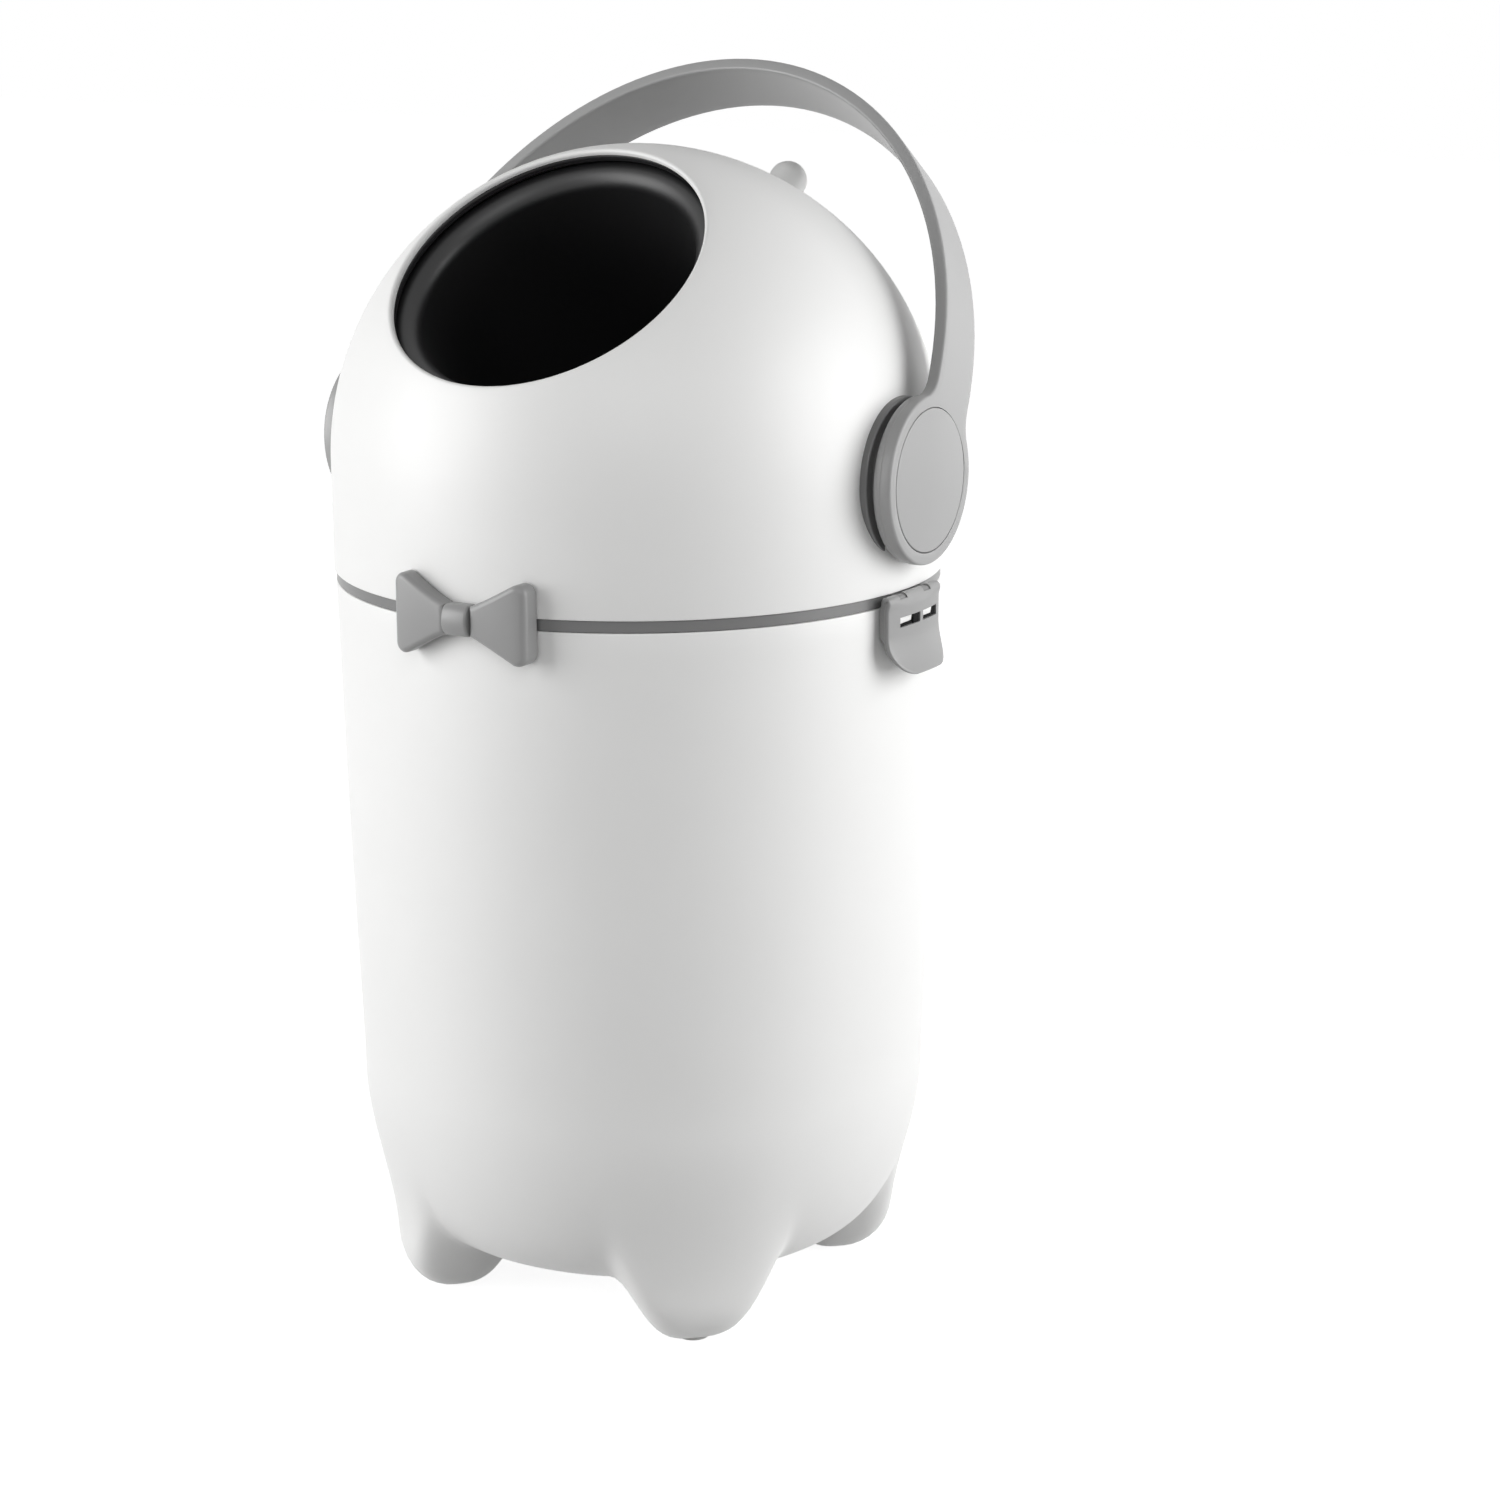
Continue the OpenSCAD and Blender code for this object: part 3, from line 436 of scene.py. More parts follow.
def block(name: str, low: Vector, high: Vector) -> bpy.types.Object:
    """Adds a box between two corners, as the start of a piece or a cutter.

    Args:
        name: its name.
        low: its lowest corner.
        high: its highest corner.

    Returns:
        The box.
    """
    bpy.ops.object.select_all(action="DESELECT")
    bpy.ops.mesh.primitive_cube_add(size=1)
    size = high - low
    return place(named(name), Matrix.Translation((low + high) / 2) @ Matrix.Diagonal((*size, 1)))


def plug(name: str, radius: float, low: float, high: float) -> bpy.types.Object:
    """Adds a closed cylinder about Z, as a cutter."""
    return turned(name, [(0, low), (radius, low), (radius, high), (0, high)], ROUND)


# Finishes


def linear(code: str) -> tuple[float, float, float, float]:
    """Turns an sRGB hex code into a linear colour.

    Args:
        code: six hex digits after a #.

    Returns:
        Red, green, blue and full alpha.
    """
    knee, slope, offset, power = 0.04045, 12.92, 0.055, 2.4
    shares = [int(code[i:i + 2], 16) / 255 for i in (1, 3, 5)]
    values = [s / slope if s <= knee else ((s + offset) / (1 + offset)) ** power for s in shares]
    return values[0], values[1], values[2], 1.0


def blank(owner: bpy.types.Material | bpy.types.World) -> bpy.types.NodeTree:
    """Gives a material or a world an empty tree of nodes.

    Args:
        owner: the material or world.

    Returns:
        Its tree.
    """
    owner.use_nodes = True
    owner.node_tree.nodes.clear()
    return owner.node_tree


def add_node(tree: bpy.types.NodeTree, kind: str, settings: dict[str, Any] | None = None,
             numbered: dict[int, Any] | None = None, **inputs: Any) -> bpy.types.Node:
    """Adds a node, sets it and links or fills its inputs.

    Args:
        tree: the tree that takes the node.
        kind: the node's type.
        settings: the node's own properties.
        numbered: values or output sockets by the input's place, where names aren't enough.
        inputs: values or output sockets by the input's name, with _ for a blank.

    Returns:
        The new node.
    """
    node = tree.nodes.new(kind)
    for name, value in (settings or {}).items():
        setattr(node, name, value)
    by_name = {name.replace("_", " "): value for name, value in inputs.items()}
    for key, value in {**(numbered or {}), **by_name}.items():
        if isinstance(value, bpy.types.NodeSocket):
            tree.links.new(value, node.inputs[key])
        else:
            node.inputs[key].default_value = value
    return node


@dataclass(frozen=True)
class Finish:
    """What every finish has: the record's slot that it serves, its name, its colour and its gloss."""

    slot: str
    name: str
    colour: str
    roughness: float

    def surface(self, tree: bpy.types.NodeTree) -> bpy.types.Node:
        """Adds the nodes that draw the surface, and gives its shader."""
        raise NotImplementedError

    def material(self) -> bpy.types.Material:
        """Makes the finish once and hands it out after that.

        Returns:
            The material.
        """
        if self.name in bpy.data.materials:
            return bpy.data.materials[self.name]
        material = bpy.data.materials.new(self.name)
        tree = blank(material)
        add_node(tree, "ShaderNodeOutputMaterial", Surface=self.surface(tree).outputs["BSDF"])
        return material


@dataclass(frozen=True)
class Moulded(Finish):
    """A plastic or rubber from a mould: its skin copies the fine grain of the tool."""

    shade: str
    grain: float
    depth: float
    ior: float = 1.5
    cloud: float = 60 * MM
    uneven: float = 0.04

    def surface(self, tree: bpy.types.NodeTree) -> bpy.types.Node:
        """Draws slow changes of tone and gloss, and the tool's grain in the skin.

        Args:
            tree: the material's tree.

        Returns:
            The shader.
        """
        here = add_node(tree, "ShaderNodeTexCoord").outputs["Object"]
        # Slow changes of tone and gloss, as where the melt cooled at different speeds
        cloud = add_node(tree, "ShaderNodeTexNoise", Vector=here, Scale=1 / self.cloud, Detail=3.0)
        flow = cloud.outputs["Fac"]
        # Sockets 6 and 7 are the two colours that the mix runs between
        tone = add_node(tree, "ShaderNodeMix", {"data_type": "RGBA"},
                        {0: flow, 6: linear(self.colour), 7: linear(self.shade)})
        gloss = add_node(tree, "ShaderNodeMapRange", Value=flow, To_Min=self.roughness - self.uneven,
                         To_Max=self.roughness + self.uneven)
        # The tool's fine grain
        grain = add_node(tree, "ShaderNodeTexNoise", Vector=here, Scale=1 / self.grain, Detail=2.0)
        skin = add_node(tree, "ShaderNodeBump", Height=grain.outputs["Fac"], Distance=self.depth,
                        Strength=1.0)
        return add_node(tree, "ShaderNodeBsdfPrincipled", Base_Color=tone.outputs[2],
                        Roughness=gloss.outputs["Result"], Normal=skin.outputs["Normal"], IOR=self.ior)


@dataclass(frozen=True)
class Plated(Finish):
    """Zinc-plated steel: fine turned scratches in a bright skin."""

    scratch: float
    depth: float = 0.01 * MM
    bite: float = 0.5
    uneven: float = 0.08

    def surface(self, tree: bpy.types.NodeTree) -> bpy.types.Node:
        """Draws scratches that change both the gloss and the skin.

        Args:
            tree: the material's tree.

        Returns:
            The shader.
        """
        here = add_node(tree, "ShaderNodeTexCoord").outputs["Object"]
        marks = add_node(tree, "ShaderNodeTexNoise", Vector=here, Scale=1 / self.scratch, Detail=4.0)
        gloss = add_node(tree, "ShaderNodeMapRange", Value=marks.outputs["Fac"],
                         To_Min=self.roughness - self.uneven, To_Max=self.roughness + self.uneven)
        skin = add_node(tree, "ShaderNodeBump", Height=marks.outputs["Fac"], Distance=self.depth,
                        Strength=self.bite)
        return add_node(tree, "ShaderNodeBsdfPrincipled", Base_Color=linear(self.colour), Metallic=1.0,
                        Roughness=gloss.outputs["Result"], Normal=skin.outputs["Normal"])


# Polypropylene from a lightly blasted mould: clean white with a soft satin sheen
WHITE_SHELL = Moulded("white_shell", "polypropylene_white", "#F1F1F0", 0.42, "#EDEDEC", 0.7 * MM, 0.006 * MM)
# ABS, mid grey, with a satin sheen that draws light lines along its rounded edges
GREY_TRIM = Moulded("grey_trim", "abs_grey_trim", "#929292", 0.34, "#8E8E8E", 0.6 * MM, 0.006 * MM)
# The belt and the base rings are of the same plastic as the trim; their darker grey is painted shade, for the dark
# round the hubs and along the belt beside the bow
GREY_TRIM_SHADED = Moulded("grey_trim", "abs_grey_belt", "#747474", 0.3, "#707070", 0.6 * MM, 0.006 * MM)
# The same plastic in a lighter grey, on the handle and its caps
GREY_HANDLE = Moulded("grey_handle", "abs_grey_handle", "#A0A0A0", 0.36, "#9C9C9C", 0.6 * MM, 0.006 * MM)
# The drum's shell runs close under the seal, so its mould is a little smoother
GREY_DRUM = Moulded("grey_drum", "abs_grey_drum", "#9A9A9B", 0.38, "#969697", 0.6 * MM, 0.005 * MM)
# Black ABS with a polished inside that wipes clean, and so a soft sheen on its lip
BLACK_CUP = Moulded("black_cup", "abs_black_cup", "#121213", 0.42, "#161617", 0.8 * MM, 0.004 * MM)
# The catches inside the latches: near-black and dull, painted shade that stands in for the deep shadow behind the
# latches' windows
BLACK_PAINTED_SHADE = Moulded("black_cup", "abs_black_catch", "#040405", 0.9, "#060607", 0.6 * MM, 0.01 * MM, 1.3)
# Nitrile rubber, smooth and dark, with a dull sheen on its round edge
BLACK_SEAL = Moulded("black_seal", "nitrile_rubber", "#1C1C1E", 0.45, "#202022", 0.5 * MM, 0.006 * MM)
# Soft off-white feet of a thermoplastic rubber
FOOT_RUBBER = Moulded("foot_rubber", "soft_rubber_feet", "#E2E2E0", 0.75, "#DADAD8", 0.5 * MM, 0.01 * MM)
# Glass-filled nylon inside: dark, dull, with a coarse flow of fibres
INNER_PLASTIC = Moulded("inner_plastic", "nylon_dark_grey", "#6C6C6F", 0.55, "#606063", 0.9 * MM, 0.012 * MM)
# Screws and latch pins of plated steel: bright, with fine turned scratches
SCREW_STEEL = Plated("screw_steel", "zinc_plated_steel", "#C6C9CC", 0.34, 0.4 * MM)
FINISHES: dict[str, Finish] = {finish.slot: finish for finish in (
    WHITE_SHELL, GREY_TRIM, GREY_HANDLE, GREY_DRUM, BLACK_CUP, BLACK_SEAL, FOOT_RUBBER, INNER_PLASTIC,
    SCREW_STEEL)}


def hand_in(piece: bpy.types.Object, body: str, finish: Finish, *nodes: str) -> None:
    """Smooths and dresses a finished piece, and fixes it to the frame.

    Args:
        piece: the finished piece.
        body: the body that it rides on.
        finish: its material.
        nodes: the CAD nodes that it stands for.
    """
    take(piece)
    bpy.ops.object.shade_smooth_by_angle(angle=math.radians(SMOOTH_TURN))
    piece.data.materials.clear()
    piece.data.materials.append(finish.material())
    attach(piece, body)
    if nodes:
        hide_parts(*nodes)
    LOG.info("%s rides on %s, %d faces", piece.name, body, len(piece.data.polygons))


# Sub-assemblies


def soft(t: float) -> float:
    """Soft step from 0 to 1."""
    c = min(1.0, max(0.0, t))
    return c * c * (3 - 2 * c)


@dataclass
class Bucket:
    """The white bucket: a round wall that flows into four moulded feet, and the latches' catch lugs."""

    m: Measures
    step_in: float = 1 * MM
    taper: float = 7 * MM
    low_z: float = 115 * MM
    bow: float = 0.6 * MM
    wall: float = 2.8 * MM
    belly_z: float = 29 * MM
    belly_r: float = 91 * MM
    pole_rise: float = 1.5 * MM
    foot_inset: float = 36 * MM
    foot_r: float = 22.5 * MM
    foot_spread: float = 37.5 * MM
    pad_proud: float = 0.3 * MM
    foot_count: int = 4
    first_foot: float = 45
    flank_turn: float = 46
    sole_turn: float = 68
    flank_base: float = 0.8
    flank_top: float = 0.91
    spread_power: float = 1.8
    columns: int = 240
    wall_rows: int = 20
    flank_rows: int = 22
    sole_rows: int = 8
    spread_rows: int = 18
    floor_rows: int = 8
    lug_low: float = 331.3 * MM
    lug_high: float = 334.4 * MM
    lug_out: float = 144.1 * MM
    lug_root: float = 1.5 * MM
    lug_ramp: float = 0.5 * MM
    lug_edge: float = 0.3 * MM
    lug_spans: tuple[tuple[float, float], ...] = ((-14.7 * MM, 11.6 * MM), (5.3 * MM, 10.1 * MM))
    rim_edge: float = 0.7 * MM

    def __post_init__(self) -> None:
        """Works out the sizes that follow from the fields."""
        self.rim_r = self.m.head_r - self.step_in
        self.low_r = self.rim_r - self.taper
        self.foot_offset = self.low_r - self.foot_inset
        self.foot_edge_z = self.pad_proud + self.foot_r
        self.flank_r = self.foot_offset + self.foot_r

    def belly(self, angle: float) -> Vector:
        """Finds a point of the underside between the feet.

        Args:
            angle: degrees inwards from its outer end.

        Returns:
            The point's radius and height.
        """
        a = math.radians(angle)
        width, depth = self.low_r - self.belly_r, self.low_z - self.belly_z
        return Vector((self.belly_r + width * math.cos(a), self.low_z - depth * math.sin(a)))

    def belly_at(self, radius: float) -> float:
        """Height of the underside between the feet at a radius."""
        share = max(0.0, (radius - self.belly_r) / (self.low_r - self.belly_r))
        return self.low_z - (self.low_z - self.belly_z) * math.sqrt(max(0.0, 1 - share * share))

    def foot_weight(self, distance: float, reach: float) -> float:
        """Says how much of a foot there is at a distance from its middle.

        Args:
            distance: the distance.
            reach: where the foot ends, in the same unit.

        Returns:
            1 at its middle, 0 at its end.
        """
        if distance >= reach:
            return 0.0
        return math.cos(QUARTER * (distance / reach) ** self.spread_power) ** 2

    def wall_row(self, share: float) -> tuple[Vector, Vector]:
        """Row of the wall at a share of the way down from the rim.

        Args:
            share: 0 at the first such row and 1 at the last.

        Returns:
            Its points between the feet and through a foot, each as radius and height.
        """
        up = 1 - share
        radius = self.low_r + self.taper * up + self.bow * math.sin(math.pi * up)
        point = Vector((radius, self.m.rim_z - share * (self.m.rim_z - self.low_z)))
        return point, point

    def flank_row(self, share: float) -> tuple[Vector, Vector]:
        """Row of the feet's outer flanks.

        Args:
            share: 0 at the first such row and 1 at the last.

        Returns:
            Its points between the feet and through a foot, each as radius and height.
        """
        z = self.low_z - share * (self.low_z - self.foot_edge_z)
        base = self.pad_proud + self.flank_base * self.foot_r
        top = self.foot_edge_z + self.flank_top * (self.low_z - self.foot_edge_z)
        radius = self.flank_r + (self.low_r - self.flank_r) * soft((z - base) / (top - base))
        return self.belly(share * self.flank_turn), Vector((radius, z))

    def sole_row(self, share: float) -> tuple[Vector, Vector]:
        """Row of the rounded soles, down to their lowest point.

        Args:
            share: 0 at the first such row and 1 at the last.

        Returns:
            Its points between the feet and through a foot, each as radius and height.
        """
        b = QUARTER * share
        angle = self.flank_turn + share * (self.sole_turn - self.flank_turn)
        sole = Vector((self.foot_offset + self.foot_r * math.cos(b),
                       self.foot_edge_z - self.foot_r * math.sin(b)))
        return self.belly(angle), sole

    def spread_row(self, share: float) -> tuple[Vector, Vector]:
        """Row where a foot spreads inwards into the underside.

        Args:
            share: 0 at the first such row and 1 at the last.

        Returns:
            Its points between the feet and through a foot, each as radius and height.
        """
        start, end = self.belly(self.sole_turn).x, self.foot_offset - self.foot_spread
        radius = start + share * (end - start)
        distance = share * self.foot_spread
        rise = (self.belly_z - self.pad_proud) * (1 - self.foot_weight(distance, self.foot_spread))
        return (Vector((radius, self.belly_at(radius))),
                Vector((self.foot_offset - distance, self.pad_proud + rise)))

    def floor_row(self, share: float) -> tuple[Vector, Vector]:
        """Row of the low dome in the middle of the underside.

        Args:
            share: 0 at the first such row and 1 at the last.

        Returns:
            Its points between the feet and through a foot, each as radius and height.
        """
        edge = self.foot_offset - self.foot_spread
        rise = self.pole_rise * (1 - math.cos(math.pi * share)) / 2
        point = Vector((edge * (1 - share), self.belly_z + rise))
        return point, point

    def rows(self) -> list[tuple[Vector, Vector]]:
        """All rows from the rim to the pole, each between the feet and through a foot.

        Returns:
            The rows in order.
        """
        parts = [(self.wall_row, self.wall_rows, 0), (self.flank_row, self.flank_rows, 0),
                 (self.sole_row, self.sole_rows, 1), (self.spread_row, self.spread_rows, 1),
                 (self.floor_row, self.floor_rows, 1)]
        made = []
        for row, count, first in parts:
            last = count if row is not self.wall_row else count - 1
            made += [row(i / count) for i in range(first, last + 1)]
        return made

    def shell(self) -> bpy.types.Object:
        """Makes the bucket's wall, bottom and feet in one skin with an even wall.

        Returns:
            The bucket without its lugs.
        """
        rows = self.rows()
        reach = math.degrees(self.foot_spread / self.foot_offset)
        pitch = 360 / self.foot_count

        def spot(u: float, v: float) -> Vector:
            """Place at u round the bucket and v from the rim to the pole."""
            angle = 360 * u
            apart = (angle - self.first_foot) % pitch
            weight = self.foot_weight(min(apart, pitch - apart), reach)
            between, through = rows[round(v * (len(rows) - 1))]
            point = between.lerp(through, weight)
            a = math.radians(angle)
            return Vector((point.x * math.cos(a), point.x * math.sin(a), point.y))

        skin = laid("bucket", self.columns, len(rows) - 1, spot)
        thicken(outwards(skin, Vector((0, 0, self.low_z))), self.wall)
        return round_edges(skin, self.rim_edge, sharper=60)

    def lug(self, side: Side, start: float, width: float) -> bpy.types.Object:
        """Makes one catch lug, with a short ramp below for the latch to ride up.

        Args:
            side: the side that it is on.
            start: its lower end along Y.
            width: its size along Y.

        Returns:
            The lug.
        """
        root = self.rim_r - self.lug_root
        lug = block(f"lug_{side.word}", Vector((root, start, self.lug_low)),
                    Vector((self.lug_out, start + width, self.lug_high)))
        with editing(lug):
            pick(lug, "verts", lambda v: v.co.x > root + TINY and v.co.z < self.lug_low + TINY)
            bpy.ops.transform.translate(value=(-self.lug_ramp, 0, 0))
        return place(round_edges(lug, self.lug_edge, sharper=30), Matrix.Scale(side.value, 4, (1, 0, 0)))

    def build(self) -> None:
        """Makes the bucket and its lugs as one moulding."""
        shell = self.shell()
        lugs = [self.lug(side, start, width) for side in Side for start, width in self.lug_spans]
        hand_in(join(shell, *lugs), "pail", WHITE_SHELL, "bin_body")


@dataclass
class Dome:
    """The white domed head with its forward opening and two small ears."""

    m: Measures
    wall: float = 3 * MM
    opening_r: float = 72.5 * MM
    lip: float = 1.5 * MM
    rim_edge: float = 0.5 * MM
    tilt: float = 38.3
    outer_turn: float = 132
    arc_steps: int = 50
    lip_steps: int = 6
    columns: int = 192
    ear_r: float = 9 * MM
    ear_h: float = 18 * MM
    ear_back: float = 35.9
    ear_out: float = 11.6
    ear_fillet: float = 3.5 * MM
    ear_sunk: float = 1 * MM
    ear_columns: int = 64
    fillet_steps: int = 8
    tip_steps: int = 16

    def opening_frame(self) -> Matrix:
        """Places what was made along Z on the opening's axis."""
        return Matrix.Translation((0, 0, self.m.axis_z)) @ Matrix.Rotation(math.radians(self.tilt), 4, "X")

    def opening_outline(self) -> Outline:
        """Outline of the shell about the opening's axis, outer face first.

        Returns:
            Points as radius and height along the opening's axis.
        """
        outer, inner = self.m.head_r, self.m.head_r - self.wall
        middle_r = self.opening_r + self.lip
        middle = (middle_r, math.sqrt((outer - self.lip) ** 2 - middle_r ** 2))
        lean = math.degrees(math.atan2(middle[1], middle[0]))
        inner_lean = math.degrees(math.acos(self.opening_r / inner))
        start = 90 - self.outer_turn
        return (arc((0, 0), outer, start, lean, self.arc_steps)
                + arc(middle, self.lip, lean, 180, self.lip_steps)[1:]
                + arc((0, 0), inner, inner_lean, start, self.arc_steps))

    def shell(self) -> bpy.types.Object:
        """Turns the dome about the opening's axis, cuts it level and draws its straight side down.

        Returns:
            The dome without its ears.
        """
        dome = place(turned("dome", self.opening_outline(), self.columns), self.opening_frame())
        level = self.m.axis_z
        merge_within = 0.8 * MM
        with editing(dome):
            bpy.ops.mesh.select_all(action="SELECT")
            bpy.ops.mesh.bisect(plane_co=(0, 0, level), plane_no=(0, 0, 1), clear_inner=True,
                                threshold=TINY / 10)
            pick(dome, "verts", lambda v: abs(v.co.z - level) < TINY)
            bpy.ops.mesh.remove_doubles(threshold=merge_within)
            pick(dome, "edges", ends(lambda p: abs(p.z - level) < TINY))
            bpy.ops.mesh.extrude_region_move(
                TRANSFORM_OT_translate={"value": (0, 0, self.m.seam_z - level)})
            pick(dome, "edges", ends(lambda p: abs(p.z - self.m.seam_z) < TINY))
            bpy.ops.mesh.bridge_edge_loops()
        tidy(dome)
        with editing(dome):
            pick(dome, "edges", ends(lambda p: p.z < self.m.seam_z + TINY
                                     and p.xy.length > self.m.head_r - self.wall / 2))
            bpy.ops.mesh.bevel(offset=self.rim_edge, segments=3, affect="EDGES")
        return dome

    def ear(self, side: Side) -> bpy.types.Object:
        """Turns one ear, with a fillet where it grows out of the dome.

        Args:
            side: the side that it is on.

        Returns:
            The ear.
        """
        base_r = self.ear_r + self.ear_fillet
        base = (base_r, math.sqrt((self.m.head_r + self.ear_fillet) ** 2 - base_r ** 2))
        lean = math.degrees(math.atan2(-base[1], -base[0]))
        tip = self.m.head_r + self.ear_h - self.ear_r
        sunk_z = base[1] - self.ear_fillet - self.ear_sunk
        outline = ([(0, sunk_z), (base_r, sunk_z)] + arc(base, self.ear_fillet, lean, -180, self.fillet_steps)
                   + arc((0, tip), self.ear_r, 0, 90, self.tip_steps))
        lean_out = (Matrix.Translation((0, 0, self.m.axis_z))
                    @ Matrix.Rotation(-math.radians(self.ear_back), 4, "X")
                    @ Matrix.Rotation(side.value * math.radians(self.ear_out), 4, "Y"))
        return place(turned(f"ear_{side.word}", outline, self.ear_columns), lean_out)

    def build(self) -> None:
        """Makes the dome and its ears as one moulding."""
        dome = join(self.shell(), *(self.ear(side) for side in Side))
        hand_in(dome, "head", WHITE_SHELL, "dome_shell", "dome_base")


@dataclass
class Drum:
    """What shows in the opening: the drum's deep black cup and the seal round it."""

    m: Measures
    dome: Dome
    drum_r: float = 133.5 * MM
    mouth_r: float = 78.3 * MM
    cup_r: float = 64 * MM
    cup_low_r: float = 56 * MM
    cup_wall: float = 2.5 * MM
    floor_z: float = -20 * MM
    corner: float = 12 * MM
    lip: float = 8 * MM
    seal_gap: float = 0.4 * MM
    seal_in_r: float = 72 * MM
    seal_out_r: float = 81.5 * MM
    skirt: float = 6 * MM
    corner_steps: int = 8
    lip_steps: int = 16
    bead_steps: int = 10
    bead_gap: float = 0.5
    seal_steps: int = 6

    def cup_outline(self) -> Outline:
        """Outline of the cup about the opening's axis: floor, corner, wall, rolled lip and back.

        Returns:
            Points as radius and height along the opening's axis.
        """
        lip_r = self.cup_r + self.lip
        lip_z = math.sqrt((self.drum_r - self.lip) ** 2 - lip_r ** 2)
        draft = math.atan2(self.cup_r - self.cup_low_r, lip_z - self.floor_z)
        lip_end = math.degrees(math.atan2(lip_z, lip_r))
        corner_z = self.floor_z + self.corner
        corner_r = self.cup_low_r + self.corner * math.tan(draft) - self.corner / math.cos(draft)
        rim_z = math.sqrt(self.drum_r ** 2 - self.mouth_r ** 2)
        under_z = self.floor_z - self.cup_wall
        return ([(0, self.floor_z)]
                + arc((corner_r, corner_z), self.corner, -90, -math.degrees(draft), self.corner_steps)
                + arc((lip_r, lip_z), self.lip, 180 + math.degrees(draft), lip_end, self.lip_steps)
                + [(self.mouth_r, rim_z), (self.mouth_r, rim_z - self.skirt),
                   (self.cup_r + self.cup_wall, lip_z - self.skirt),
                   (self.cup_low_r + self.cup_wall, under_z), (0, under_z)])

    def seal_outline(self) -> Outline:
        """Outline of the seal between dome and drum, with a round inner edge.

        Returns:
            Points as radius and height along the opening's axis.
        """
        top_r = self.m.head_r - self.dome.wall
        low_r = self.drum_r + self.seal_gap
        bead = (top_r - low_r) / 2
        lean = math.acos(self.seal_in_r / (low_r + bead))
        middle = ((low_r + bead) * math.cos(lean) + bead, (low_r + bead) * math.sin(lean))
        turn = math.degrees(math.atan2(middle[1], middle[0]))
        end_low, end_top = (math.degrees(math.acos(self.seal_out_r / r)) for r in (low_r, top_r))
        top = math.radians(turn)
        last = (middle[0] + bead * math.cos(top), middle[1] + bead * math.sin(top))
        return (arc(middle, bead, turn + 360, turn + 180, self.bead_steps)
                + arc((0, 0), low_r, turn - self.bead_gap, end_low, self.seal_steps)
                + arc((0, 0), top_r, end_top, turn - self.bead_gap, self.seal_steps) + [last])

    def build(self) -> None:
        """Turns the cup and the seal."""
        cup = place(turned("cup", self.cup_outline(), FINE_ROUND), self.dome.opening_frame())
        hand_in(cup, "drum", BLACK_CUP, "drum_cup", "cup_rim", "cup_base")
        seal = place(turned("seal", self.seal_outline(), FINE_ROUND), self.dome.opening_frame())
        hand_in(seal, "head", BLACK_SEAL, "opening_seal")


